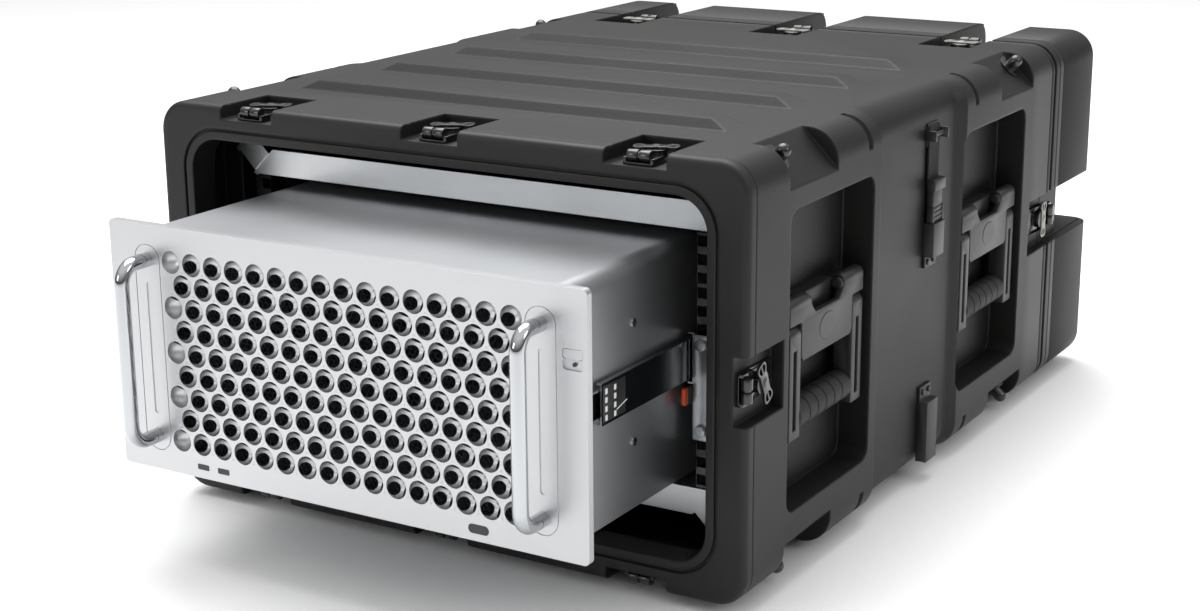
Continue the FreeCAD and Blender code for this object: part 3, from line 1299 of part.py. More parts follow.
def handle_bail(name, y):
    """A spring handle's bail on the right: two slotted arms and the bar between them."""
    solid, holes = [], []
    for side in (-1, 1):
        inner, outer = ("arm_inner", "arm_outer") if side > 0 else ("-arm_outer", "-arm_inner")
        low, high = "%s + %s" % (y, inner), "%s + %s" % (y, outer)
        middle = "%s + %d * (arm_inner + handle_half) / 2" % (y, side)
        solid.append(block("%s_arm%d" % (name, side + 1), ("face_x - arm_depth", low, "hinge_z - arm_drop"),
                           ("face_x", high, "hinge_z")))
        width = "arm_outer - arm_inner"
        solid.append(rod("%s_hub%d" % (name, side + 1), "hinge_in", "arm_inner", width, Vector(0, side, 0),
                         ("hinge_x", y, "hinge_z")))
        holes.append(rod("%s_bore%d" % (name, side + 1), "pin_radius + pin_play", "arm_inner - cut_over",
                         width + " + 2 * cut_over", Vector(0, side, 0), ("hinge_x", y, "hinge_z")))
        holes.append(block("%s_slot%d" % (name, side + 1),
                           ("face_x - arm_slot_depth", middle + " - arm_slot / 2",
                            "hinge_z - arm_drop + slot_foot"),
                           ("face_x + cut_over", middle + " + arm_slot / 2",
                            "hinge_z - hinge_in - slot_top")))
    solid.append(rod(name + "_core", "core_radius", "-arm_inner - core_root", "2 * (arm_inner + core_root)",
                     Vector(0, 1, 0), ("hand_x", y, "hinge_z - hand_drop")))
    return in_case(minus(name, joined(name + "_blank", *solid), *holes))


def handle_grip(name, y):
    """The soft grip around a bail's bar."""
    at = ("hand_x", y, "hinge_z - hand_drop")
    outer = rod(name + "_outer", "hand_radius", "-arm_inner", "2 * arm_inner", Vector(0, 1, 0), at)
    inner = rod(name + "_inner", "core_radius", "-arm_inner - cut_over", "2 * (arm_inner + cut_over)",
                Vector(0, 1, 0), at)
    return in_case(minus(name, outer, inner))


def make_handles():
    """Four spring handles: hinge plates in one group, each bail and grip a piece of its own."""
    plates = []
    for end, y in (("front", "recess_front_y"), ("rear", "recess_rear_y")):
        plate = handle_plate("handle_plate_" + end, y)
        plates += [plate, mirrored("handle_plate_%s_left" % end, plate)]
        for kind, maker in (("handle_bail", handle_bail), ("handle_grip", handle_grip)):
            label = "%s_%s" % (kind, end)
            piece = keep(label + "_right", maker(label + "_right", y))
            keep(label + "_left", mirrored(label + "_left", piece))
    group("handle_plates", *plates)


# --- Tie-down straps -----------------------------------------------------------------------

def make_straps():
    """A strap on each side: anchor loop, webbing, quick-release clip and buckles."""
    at_y = ("strap_y - buckle_half", "strap_y + buckle_half")
    out = "waist_x + buckle_thick"
    body_in = "waist_x + web_lift"
    slot_x = ("waist_x + buckle_thick / 2 - prong_thick / 2", "waist_x + buckle_thick / 2 + prong_thick / 2")
    pieces = []
    anchor = block("anchor_plate", ("waist_x", at_y[0], "loop_z - anchor_half"),
                   (body_in, at_y[1], "loop_z + anchor_half"))
    bar = rod("anchor_bar", "loop_bar", "-buckle_half", "2 * buckle_half", Vector(0, 1, 0),
              ("waist_x + web_lift + strap_thick + loop_bar", "strap_y", "loop_z"))
    cheeks = ((at_y[0] + " - anchor_cheek", at_y[0]), (at_y[1], at_y[1] + " + anchor_cheek"))
    ends = []
    for i, (low, high) in enumerate(cheeks):
        ends.append(block("anchor_end%d" % i, ("waist_x", low, "loop_z - cheek_half"),
                          (out, high, "loop_z + cheek_half")))
    pieces.append(joined("anchor", anchor, bar, *ends))

    socket = block("socket_body", ("waist_x", at_y[0], "socket_foot"), (out, at_y[1], "clip_foot"))
    cavity = block("socket_cavity",
                   (slot_x[0] + " - play", "strap_y - prong_half - play", "clip_foot - prong_length - play"),
                   (slot_x[1] + " + play", "strap_y + prong_half + play", "clip_foot + cut_over"))
    tab = block("socket_tab", ("waist_x", at_y[0], "socket_foot - tab_drop"),
                ("waist_x + tab_thick", at_y[1], "socket_foot"))
    pieces.append(joined("socket", minus("socket_shell", socket, cavity), tab))
    step = "low_buckle_top - low_step"
    low_body = block("low_buckle_body", ("waist_x", at_y[0], "low_buckle_foot"), (out, at_y[1], step))
    low_tab = block("low_buckle_tab", ("waist_x", at_y[0], step),
                    ("waist_x + tab_thick", at_y[1], "low_buckle_top + tab_drop"))
    pieces.append(joined("low_buckle", low_body, low_tab))
    for i, z in enumerate(("socket_foot - tab_drop / 2", "low_buckle_top + tab_drop / 2")):
        for side in (-1, 1):
            pieces.append(rod("tab_screw%d%d" % (i, side + 1), "tab_screw_radius", "0", "tab_screw_height",
                              Vector(1, 0, 0), ("waist_x + tab_thick", "strap_y + %d * tab_screw_y" % side, z)))
    pair("strap_fittings", in_case(compound("strap_fittings_right", pieces)))

    web = block("webbing_run", (body_in, "strap_y - strap_width / 2", "clip_top"),
                ("%s + strap_thick" % body_in, "strap_y + strap_width / 2", "strap_top"))
    pair("strap_webbing", in_case(compound("strap_webbing_right", [web])))

    clip = block("clip_body", (body_in, at_y[0], "clip_foot + play"), (out, at_y[1], "clip_top"))
    prong = block("clip_prong", (slot_x[0], "strap_y - prong_half", "clip_foot - prong_length"),
                  (slot_x[1], "strap_y + prong_half", "clip_foot + play"))
    right = keep("strap_clip_right", in_case(joined("strap_clip_right", clip, prong)))
    keep("strap_clip_left", mirrored("strap_clip_left", right))


# --- Build ---------------------------------------------------------------------------------

def check():
    """Stop if a feature failed, a cut removed nothing or a sub-part is not sound."""
    for item in DOC.Objects:
        if "Invalid" in item.State or "Error" in item.State:
            raise RuntimeError("%s: %s" % (item.Name, item.State))
    for before, cut in CUTS:
        if cut.Shape.Volume >= before.Shape.Volume - 1:
            raise RuntimeError("%s removes nothing" % cut.Name)
    for label, item in PARTS.items():
        if item.Shape.isNull() or not item.Shape.isValid() or item.Shape.Volume <= 0:
            raise RuntimeError("%s is not a sound solid" % label)


def main():
    """Build every sub-part, check them all and write one STEP file for each."""
    fill_sheet()
    make_case()
    make_lid()
    make_latches()
    make_isolators()
    make_frame()
    make_slides()
    make_panel()
    make_grips()
    make_housing()
    make_handles()
    make_straps()
    DOC.recompute()
    check()
    os.makedirs("parts", exist_ok=True)
    for label, item in PARTS.items():
        item.Shape.exportStep("parts/%s.step" % label)


main()
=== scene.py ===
"""Looks of a shock-mounted equipment rack case with its slide-out unit, built around the CAD frame."""

import json
import logging
import math
from dataclasses import dataclass, field
from enum import Enum
from typing import Callable, Mapping, Optional, Sequence

import bmesh
import bpy
from mathutils import Euler, Matrix, Vector


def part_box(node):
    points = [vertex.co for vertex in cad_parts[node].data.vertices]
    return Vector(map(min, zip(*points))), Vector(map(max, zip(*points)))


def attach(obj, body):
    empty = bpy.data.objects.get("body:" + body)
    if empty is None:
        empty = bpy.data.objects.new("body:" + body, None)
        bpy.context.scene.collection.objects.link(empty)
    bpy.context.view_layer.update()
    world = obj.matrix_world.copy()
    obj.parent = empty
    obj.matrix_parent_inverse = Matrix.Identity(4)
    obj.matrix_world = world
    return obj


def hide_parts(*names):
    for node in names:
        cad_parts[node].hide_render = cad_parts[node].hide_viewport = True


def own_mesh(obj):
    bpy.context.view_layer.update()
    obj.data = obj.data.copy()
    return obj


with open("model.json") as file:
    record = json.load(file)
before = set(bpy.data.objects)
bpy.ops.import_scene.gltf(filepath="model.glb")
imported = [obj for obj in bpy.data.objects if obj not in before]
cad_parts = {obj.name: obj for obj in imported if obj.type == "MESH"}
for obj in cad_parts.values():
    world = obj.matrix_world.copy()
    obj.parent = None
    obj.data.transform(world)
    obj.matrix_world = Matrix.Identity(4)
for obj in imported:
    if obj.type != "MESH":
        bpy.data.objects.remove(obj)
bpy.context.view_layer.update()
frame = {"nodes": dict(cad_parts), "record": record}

LOG = logging.getLogger("rack_case")
MM = 0.001
WELD_DISTANCE = 2e-5
SMOOTH_ANGLE = math.radians(32)
FLAT_ANGLE = math.radians(0.4)
CREASE_ANGLE = math.radians(40)  # a CAD edge sharper than this is bevelled
RIM_ANGLE = math.radians(60)  # a plate's or rod's rim is sharper than this
FRONT_RIM_Y = -340.75  # the case's front rim, in the row frame, in millimetres
SHELL_BASE_Z = 8.8  # the shell's underside above the plane that the ribs stand on
SHELL_HEIGHT = 375.7
MIDDLE_Z = SHELL_HEIGHT / 2
SHELL_HALF_WIDTH = 305.5
SHELL_EDGE_RADIUS = 28.7  # long outer edges of the shell and of the lid
SURFACE_BAND = 0.6  # a vertex this close to the moulded surface belongs to it


class Side(Enum):
    """The two long sides of the case."""

    LEFT = -1
    RIGHT = 1


# ---------------------------------------------------------------------------- colours and nodes


def to_linear(code: str) -> tuple[float, float, float, float]:
    """Turn an sRGB hex colour into linear RGBA.

    Args:
        code: Six hex digits after a hash.

    Returns:
        Linear red, green, blue and an alpha of one.
    """
    values = [int(code[i:i + 2], 16) / 255 for i in (1, 3, 5)]
    linear = [v / 12.92 if v <= 0.04045 else ((v + 0.055) / 1.055) ** 2.4 for v in values]
    return (linear[0], linear[1], linear[2], 1.0)


def add_node(tree: bpy.types.NodeTree, kind: str, values: Optional[Mapping[str, object]] = None,
             links: Optional[Mapping[object, bpy.types.NodeSocket]] = None) -> bpy.types.Node:
    """Add one shader node with its settings and its incoming links.

    Args:
        tree: The material's node tree.
        kind: The node's type name.
        values: Input names or attribute names and their values.
        links: Input names or indexes and the sockets that feed them.

    Returns:
        The new node.
    """
    node = tree.nodes.new(kind)
    for key, value in (values or {}).items():
        if key in node.inputs:
            node.inputs[key].default_value = value
        else:
            setattr(node, key, value)
    for key, socket in (links or {}).items():
        tree.links.new(socket, node.inputs[key])
    return node


@dataclass(frozen=True)
class Finish:
    """What a real surface is made of and how it was made.

    Grain sizes are in millimetres. A grain too fine to show is drawn coarser, as each finish says.
    """

    name: str
    slot: str
    colour: str
    roughness: float
    metallic: float = 0.0
    ior: Optional[float] = None
    grain_mm: float = 0.0
    grain_depth: float = 0.0
    stretch: tuple[float, float, float] = (1.0, 1.0, 1.0)
    mottle_mm: float = 60.0
    mottle: float = 0.08
    edge_mm: float = 0.0
    coat: float = 0.0

    def build(self) -> bpy.types.Material:
        """Make the material, or return the one made before."""
        known = bpy.data.materials.get(self.name)
        if known:
            return known
        material = bpy.data.materials.new(self.name)
        material.use_nodes = True
        tree = material.node_tree
        tree.nodes.clear()
        shader = add_node(tree, "ShaderNodeBsdfPrincipled", {
            "Metallic": self.metallic, "Coat Weight": self.coat, "Coat Roughness": 0.12})
        if self.ior is not None:
            shader.inputs["IOR"].default_value = self.ior
        place = add_node(tree, "ShaderNodeTexCoord").outputs["Object"]
        self.add_colour(tree, shader, place)
        self.add_relief(tree, shader, place)
        add_node(tree, "ShaderNodeOutputMaterial", links={"Surface": shader.outputs["BSDF"]})
        return material

    def add_colour(self, tree: bpy.types.NodeTree, shader: bpy.types.Node,
                   place: bpy.types.NodeSocket) -> None:
        """Vary colour and roughness a little over hand-sized patches, as handling and moulding do."""
        cloud = add_node(tree, "ShaderNodeTexNoise", {"Scale": 1 / (self.mottle_mm * MM), "Detail": 4.0},
                         {"Vector": place})
        base = to_linear(self.colour)
        low = tuple(v * (1 - self.mottle) for v in base[:3]) + (1.0,)
        high = tuple(min(1.0, v * (1 + self.mottle)) for v in base[:3]) + (1.0,)
        colour = add_node(tree, "ShaderNodeMix", {"data_type": "RGBA"})
        tree.links.new(cloud.outputs["Fac"], colour.inputs[0])
        colour.inputs[6].default_value = low
        colour.inputs[7].default_value = high
        tree.links.new(colour.outputs[2], shader.inputs["Base Color"])
        spread = add_node(tree, "ShaderNodeMapRange", {
            "From Min": 0.3, "From Max": 0.7,
            "To Min": self.roughness * 0.92, "To Max": self.roughness * 1.08},
            {"Value": cloud.outputs["Fac"]})
        tree.links.new(spread.outputs["Result"], shader.inputs["Roughness"])

    def add_relief(self, tree: bpy.types.NodeTree, shader: bpy.types.Node,
                   place: bpy.types.NodeSocket) -> None:
        """Add the surface's grain, and softened edges where the finish has them."""
        edge = None
        if self.edge_mm:
            rounded = add_node(tree, "ShaderNodeBevel", {"samples": 6, "Radius": self.edge_mm * MM})
            edge = rounded.outputs["Normal"]
        if self.grain_mm:
            mapped = add_node(tree, "ShaderNodeMapping", {"Scale": self.stretch}, {"Vector": place})
            grain = add_node(tree, "ShaderNodeTexNoise", {"Scale": 1 / (self.grain_mm * MM), "Detail": 2.0},
                             {"Vector": mapped.outputs["Vector"]})
            bump = add_node(tree, "ShaderNodeBump", {"Strength": 1.0, "Distance": self.grain_depth * MM},
                            {"Height": grain.outputs["Fac"]})
            if edge is not None:
                tree.links.new(edge, bump.inputs["Normal"])
            edge = bump.outputs["Normal"]
        if edge is not None:
            tree.links.new(edge, shader.inputs["Normal"])


# Rotationally moulded polyethylene: matt charcoal with the mould's fine pebble, about 1.5 mm apart,
# which scatters highlights into soft bands along every edge.
MOULDED = Finish("moulded_polyethylene", "shell_black", "#131211", 0.50, ior=1.42, grain_mm=1.6,
                 grain_depth=0.10, mottle_mm=180, mottle=0.10, edge_mm=3.0)
# Injection-moulded glass-filled nylon: a little smoother and darker than the shell.
NYLON = Finish("glass_filled_nylon", "handle_black", "#1f1f20", 0.42, ior=1.53, grain_mm=0.9,
               grain_depth=0.04, mottle=0.05, edge_mm=0.8)
# Black nitrocarburised die-cast zinc with a clear coat: deep black, crisp highlights.
CAST_BLACK = Finish("coated_die_cast_zinc", "hardware_black", "#121213", 0.24, ior=1.5, mottle=0.04,
                    edge_mm=0.5, coat=0.4)
# Bare die-cast zinc wings: dull warm grey with a satin sheen.
CAST_GREY = Finish("tumbled_die_cast_zinc", "wing_grey", "#8d8c88", 0.38, metallic=0.9, grain_mm=0.8,
                   grain_depth=0.02, edge_mm=0.5)
# Moulded thermoplastic rubber of the hand grips: dark and dull.
GRIP = Finish("grip_elastomer", "grip_rubber", "#1a1a1b", 0.66, ior=1.52, grain_mm=0.7, grain_depth=0.05)
# Natural rubber of the isolators: blooming grey-black.
ISOLATOR = Finish("isolator_rubber", "mount_rubber", "#1d1d1c", 0.75, ior=1.52, grain_mm=1.0,
                  grain_depth=0.05)
# Extruded EPDM of the gasket.
GASKET = Finish("epdm_gasket", "gasket_black", "#0e0e0f", 0.7, ior=1.5)
# Brushed 5052 sheet: lines run along the width, drawn about 0.5 mm apart, coarser than the real scratch.
BRUSHED = Finish("brushed_aluminium", "frame_aluminium", "#c4c6c8", 0.34, metallic=1.0, grain_mm=0.5,
                 grain_depth=0.02, stretch=(0.02, 0.02, 1.0), mottle=0.05, edge_mm=0.4)
# Bead-blasted and clear anodised aluminium of the panel: pale silver, fine even sparkle, drawn at 0.5 mm.
ANODISED = Finish("anodised_panel_aluminium", "panel_aluminium", "#c3c4c6", 0.40, metallic=0.9, grain_mm=0.5,
                  grain_depth=0.012, mottle=0.02, mottle_mm=250, edge_mm=0.5)
# The same anodising on folded sheet: a shade darker and flatter.
HOUSING = Finish("anodised_housing_aluminium", "housing_aluminium", "#b9bbbe", 0.42, metallic=0.95,
                 grain_mm=0.6, grain_depth=0.012, mottle=0.03, mottle_mm=250, edge_mm=0.6)
# Polished chromium plate over brass tube.
CHROME = Finish("polished_chromium", "bright_chrome", "#b7b9bc", 0.06, metallic=1.0, mottle=0.01)
# Clear-passivated zinc plate on rolled steel: cool grey with faint bluish cast.
ZINC = Finish("zinc_plated_steel", "slide_zinc", "#b4b7ba", 0.30, metallic=1.0, grain_mm=1.2,
              grain_depth=0.01, mottle=0.08, mottle_mm=18)
SCREW_ZINC = Finish("zinc_plated_screw", "screw_zinc", "#a6a8aa", 0.28, metallic=1.0, mottle=0.06,
                    mottle_mm=12)
# Black cathodic dip on steel: glossy, almost mirror dark.
DIPPED = Finish("black_dipped_steel", "slide_black", "#101113", 0.20, ior=1.5, mottle=0.03, coat=0.3)
# Moulded acetal lever.
ACETAL = Finish("orange_acetal", "lever_orange", "#e0521a", 0.34, ior=1.48, mottle=0.03, edge_mm=0.6)
# Natural acetal rollers: milky white.
ROLLER = Finish("natural_acetal", "slide_black", "#dfe2e2", 0.4, ior=1.48, mottle=0.02)
# Dark dip on the woven screen behind the grille.
SCREEN = Finish("dipped_wire_screen", "mesh_dark", "#0b0b0c", 0.6, ior=1.5)
# Port blocks moulded in black PBT.
PORT = Finish("moulded_pbt", "insert_dark", "#20262a", 0.45, ior=1.55)
# Woven polyester strap: dull, with a twill drawn at 1.2 mm.
WEBBING = Finish("woven_polyester", "webbing_black", "#17171a", 0.85, ior=1.5, grain_mm=1.2, grain_depth=0.15,
                 stretch=(1.0, 1.0, 2.5))


# ---------------------------------------------------------------------------- meshes


def from_bmesh(name: str, mesh: bmesh.types.BMesh) -> bpy.types.Object:
    """Turn a bmesh into a smooth-shaded object at the origin and free the bmesh."""
    for face in mesh.faces:
        face.smooth = True
    for edge in mesh.edges:
        edge.smooth = edge.calc_face_angle(math.pi) < SMOOTH_ANGLE
    data = bpy.data.meshes.new(name)
    mesh.to_mesh(data)
    mesh.free()
    made = bpy.data.objects.new(name, data)
    bpy.context.scene.collection.objects.link(made)
    return made


def spot(x: float, y: float, z: float) -> Vector:
    """Turn millimetres from the front rim's middle foot into metres in the row frame."""
    return Vector((x, y + FRONT_RIM_Y, z + SHELL_BASE_Z)) * MM


def round_edges(mesh: bmesh.types.BMesh, edges: Sequence[bmesh.types.BMEdge], round_mm: float,
                segments: int = 2, clamp: bool = True) -> None:
    """Round edges of a mesh.

    Args:
        mesh: Mesh that owns the edges.
        edges: Edges to round.
        round_mm: Distance from an edge to the start of its rounding.
        segments: Faces across a rounding.
        clamp: Whether roundings stop where they would meet.
    """
    bmesh.ops.bevel(mesh, geom=edges, offset=round_mm * MM, offset_type="OFFSET", affect="EDGES",
                    segments=segments, profile=0.5, clamp_overlap=clamp, material=-1)


def edges_of(verts: Sequence[bmesh.types.BMVert]) -> set[bmesh.types.BMEdge]:
    """Return the edges that meet any of some vertices."""
    return {edge for vert in verts for edge in vert.link_edges}


def push_out(mesh: bmesh.types.BMesh, faces: Sequence[bmesh.types.BMFace], near: Sequence[bmesh.types.BMVert],
             depth: Vector, round_mm: float) -> None:
    """Turn a flat face into a plate and round its rims.

    Args:
        mesh: Mesh that holds the face.
        faces: The faces that make up the plate's near side.
        near: Their vertices.
        depth: Vector from the near side to the far side.
        round_mm: Rounding of the rims, or zero.
    """
    pushed = bmesh.ops.extrude_face_region(mesh, geom=faces)["geom"]
    far = [item for item in pushed if isinstance(item, bmesh.types.BMVert)]
    bmesh.ops.translate(mesh, verts=far, vec=depth)
    every = list(near) + far
    bmesh.ops.recalc_face_normals(mesh, faces=list({face for vert in every for face in vert.link_faces}))
    if round_mm:
        along = depth.normalized()
        rims = [edge for edge in edges_of(every)
                if abs((edge.verts[1].co - edge.verts[0].co).normalized().dot(along)) < 0.5
                and edge.calc_face_angle(0) > RIM_ANGLE]
        round_edges(mesh, rims, round_mm)


def add_block(mesh: bmesh.types.BMesh, low: Vector, high: Vector, round_mm: float = 0.0,
              segments: int = 2) -> None:
    """Add a box between two corners to a mesh.

    Args:
        mesh: Mesh that gains the box.
        low: Corner with the lowest coordinates, in metres.
        high: Corner with the highest.
        round_mm: Rounding of its edges.
        segments: Faces across a rounding.
    """
    size = high - low
    matrix = Matrix.Translation((low + high) / 2) @ Matrix.Diagonal((*size, 1.0))
    made = bmesh.ops.create_cube(mesh, size=1.0, matrix=matrix)["verts"]
    if round_mm:
        round_edges(mesh, list(edges_of(made)), round_mm, segments)


def add_rod(mesh: bmesh.types.BMesh, start: Vector, end: Vector, radius_mm: float, sides: int = 32,
            round_mm: float = 0.0) -> None:
    """Add a cylinder to a mesh.

    Args:
        mesh: Mesh that gains the cylinder.
        start: Middle of one end, in metres.
        end: Middle of the other.
        radius_mm: Its radius.
        sides: Faces around it.
        round_mm: Rounding of its rims.
    """
    axis = end - start
    matrix = Matrix.Translation((start + end) / 2) @ axis.to_track_quat("Z", "Y").to_matrix().to_4x4()
    made = bmesh.ops.create_cone(mesh, cap_ends=True, cap_tris=False, segments=sides,
                                 radius1=radius_mm * MM, radius2=radius_mm * MM, depth=axis.length,
                                 matrix=matrix)["verts"]
    if round_mm:
        rims = [edge for edge in edges_of(made) if edge.calc_face_angle(0) > RIM_ANGLE]
        round_edges(mesh, rims, round_mm)


def add_prism(mesh: bmesh.types.BMesh, outline: Sequence[Vector], depth: Vector, round_mm: float) -> None:
    """Add a plate to a mesh.

    Args:
        mesh: Mesh that gains the plate.
        outline: Corners of its near side.
        depth: Vector from the near side to the far side.
        round_mm: Rounding of its rims.
    """
    verts = [mesh.verts.new(point) for point in outline]
    push_out(mesh, [mesh.faces.new(verts)], verts, depth, round_mm)


def add_pierced_plate(mesh: bmesh.types.BMesh, loops: Sequence[Sequence[Vector]], depth: Vector,
                      round_mm: float) -> None:
    """Add a plate with holes to a mesh.

    Args:
        mesh: Mesh that gains the plate.
        loops: The outer outline, then the holes' outlines.
        depth: Vector from the near side to the far side.
        round_mm: Rounding of the rims.
    """
    verts, edges = [], []
    for loop in loops:
        ring = [mesh.verts.new(point) for point in loop]
        edges += [mesh.edges.new((ring[i - 1], vert)) for i, vert in enumerate(ring)]
        verts += ring
    filled = bmesh.ops.triangle_fill(mesh, use_beauty=True, use_dissolve=False, edges=edges,
                                     normal=depth)["geom"]
    near = [item for item in filled if isinstance(item, bmesh.types.BMFace)]
    push_out(mesh, near, verts, depth, round_mm)


def mirror_to(mesh: bmesh.types.BMesh, side: Side) -> None:
    """Leave a right-hand mesh as it is, or turn it into its left-hand twin."""
    if side is Side.LEFT:
        bmesh.ops.scale(mesh, vec=(-1, 1, 1), verts=mesh.verts)
        bmesh.ops.reverse_faces(mesh, faces=mesh.faces)


def outward(point: Vector) -> Optional[Vector]:
    """Find which way a moulded box's outer surface faces at a point.

    Args:
        point: A vertex's place in the row frame.

    Returns:
        The unit normal across the case, or None away from the outer surface.
    """
    side, level = point.x, point.z - spot(0, 0, MIDDLE_Z).z
    across = abs(side) - SHELL_HALF_WIDTH * MM
    up = abs(level) - SHELL_HEIGHT * MM / 2
    radius, band = SHELL_EDGE_RADIUS * MM, SURFACE_BAND * MM
    if across + radius > 0 and up + radius > 0:
        if abs(math.hypot(across + radius, up + radius) - radius) >= band:
            return None
        normal = Vector((math.copysign(across + radius, side), 0, math.copysign(up + radius, level)))
        return normal.normalized()
    if max(across, up) <= -band:
        return None
    if across > up:
        return Vector((math.copysign(1, side), 0, 0))
    return Vector((0, 0, math.copysign(1, level)))


def groove_ring(mesh: bmesh.types.BMesh, y_mm: float, width_mm: float, depth_mm: float) -> None:
    """Press a shallow groove around the outside of a moulded shell.

    Args:
        mesh: The shell's mesh.
        y_mm: Groove's middle, from the front rim.
        width_mm: Groove's width. Its floor takes the middle 40 %.
        depth_mm: Groove's depth.
    """
    rim, foot = 0.5 * width_mm, 0.2 * width_mm
    for offset in (-rim, -foot, foot, rim):
        bmesh.ops.bisect_plane(mesh, geom=mesh.verts[:] + mesh.edges[:] + mesh.faces[:], dist=1e-6,
                               plane_co=spot(0, y_mm + offset, 0), plane_no=(0, 1, 0))
    halfway = (rim - foot) / 6 + foot
    low, high = spot(0, y_mm - halfway, 0).y, spot(0, y_mm + halfway, 0).y
    for vert in mesh.verts:
        normal = outward(vert.co) if low < vert.co.y < high else None
        if normal:
            vert.co -= normal * depth_mm * MM


def welded(node: str) -> bmesh.types.BMesh:
    """Return a copy of a CAD node's mesh with its loose triangles joined and its flats merged."""
    mesh = bmesh.new()
    mesh.from_mesh(frame["nodes"][node].data)
    bmesh.ops.remove_doubles(mesh, verts=mesh.verts, dist=WELD_DISTANCE)
    bmesh.ops.dissolve_limit(mesh, angle_limit=FLAT_ANGLE, verts=mesh.verts, edges=mesh.edges)
    return mesh


def body_of(node: str) -> str:
    """Return the name of the body that a CAD node rides on."""
    bodies = frame["record"]["behaviour"]["bodies"]
    return next(name for name, nodes in bodies.items() if node in nodes)


@dataclass
class Assembly:
    """A sub-assembly: it knows how to finish CAD nodes and how to hand in new pieces."""

    made: list[str] = field(default_factory=list, init=False)

    def hand_in(self, piece: bpy.types.Object, finish: Finish, body: str, *nodes: str) -> bpy.types.Object:
        """Dress a piece, set it on its body and hide the CAD nodes that it replaces.

        Args:
            piece: The finished object.
            finish: Its surface.
            body: The body that it moves with.
            nodes: CAD nodes that it replaces, if any.

        Returns:
            The same object.
        """
        piece.data.materials.clear()
        piece.data.materials.append(finish.build())
        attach(piece, body)
        if nodes:
            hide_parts(*nodes)
        self.made.append(piece.name)
        LOG.info("%s: %s on %s", type(self).__name__, piece.name, body)
        return piece

    def paint_faces(self, piece: bpy.types.Object, finish: Finish,
                    chosen: Callable[[bpy.types.MeshPolygon], bool]) -> None:
        """Give some faces of a piece a second finish.

        Args:
            piece: The finished object.
            finish: The second finish.
            chosen: Test that a face has to pass.
        """
        piece.data.materials.append(finish.build())
        second = len(piece.data.materials) - 1
        for face in piece.data.polygons:
            if chosen(face):
                face.material_index = second

    def refine(self, node: str, finish: Finish, bevel_mm: float = 0.0) -> bpy.types.Object:
        """Replace a CAD node by a copy with smooth curves and, if asked, bevelled edges.

        Args:
            node: The CAD node.
            finish: Its surface.
            bevel_mm: Width of the bevel on its sharp edges.

        Returns:
            The new object.
        """
        mesh = welded(node)
        if bevel_mm:
            sharp = [edge for edge in mesh.edges
                     if edge.is_manifold and edge.calc_face_angle(0) > CREASE_ANGLE]
            round_edges(mesh, sharp, bevel_mm, clamp=False)
        return self.hand_in(from_bmesh(node + "_finished", mesh), finish, body_of(node), node)


@dataclass
class MouldedShell(Assembly):
    """The case body. Sizes in millimetres, places from the front rim."""

    bead_lines: tuple[float, ...] = (13.0, 705.0)
    bead_width: float = 2.0
    bead_depth: float = 0.9

    def build(self) -> None:
        """Press the bead lines behind each rim into the shell and dress it."""
        mesh = welded("case_shell")
        for y in self.bead_lines:
            groove_ring(mesh, y, self.bead_width, self.bead_depth)
        self.hand_in(from_bmesh("case_shell_finished", mesh), MOULDED, "case", "case_shell")


@dataclass
class RearLid(Assembly):
    """The rear lid with its gasket and keepers. Sizes in millimetres, places from the front rim."""

    bead_lines: tuple[float, ...] = (731.0, 743.0)
    bead_width: float = 2.6
    bead_depth: float = 1.0

    def build(self) -> None:
        """Press the bead lines into the lid and dress it with its gasket and keepers."""
        mesh = welded("rear_lid_shell")
        for y in self.bead_lines:
            groove_ring(mesh, y, self.bead_width, self.bead_depth)
        self.hand_in(from_bmesh("rear_lid_shell_finished", mesh), MOULDED, "rear_lid", "rear_lid_shell")
        self.refine("lid_gasket", GASKET)
        self.refine("lid_keepers", CAST_BLACK, 0.4)


@dataclass
class ShockFrame(Assembly):
    """Isolators, brackets, cross plates and rails."""

    def build(self) -> None:
        """Dress the inner frame."""
        for node in ("corner_washers", "corner_nuts"):
            self.refine(node, CAST_BLACK)
        self.refine("shock_mounts", ISOLATOR)
        for node in ("mount_brackets", "cross_plates_front", "cross_plates_rear", "frame_sides"):
            self.refine(node, BRUSHED)
        for node in ("rails_front", "rails_rear"):
            self.refine(node, DIPPED)


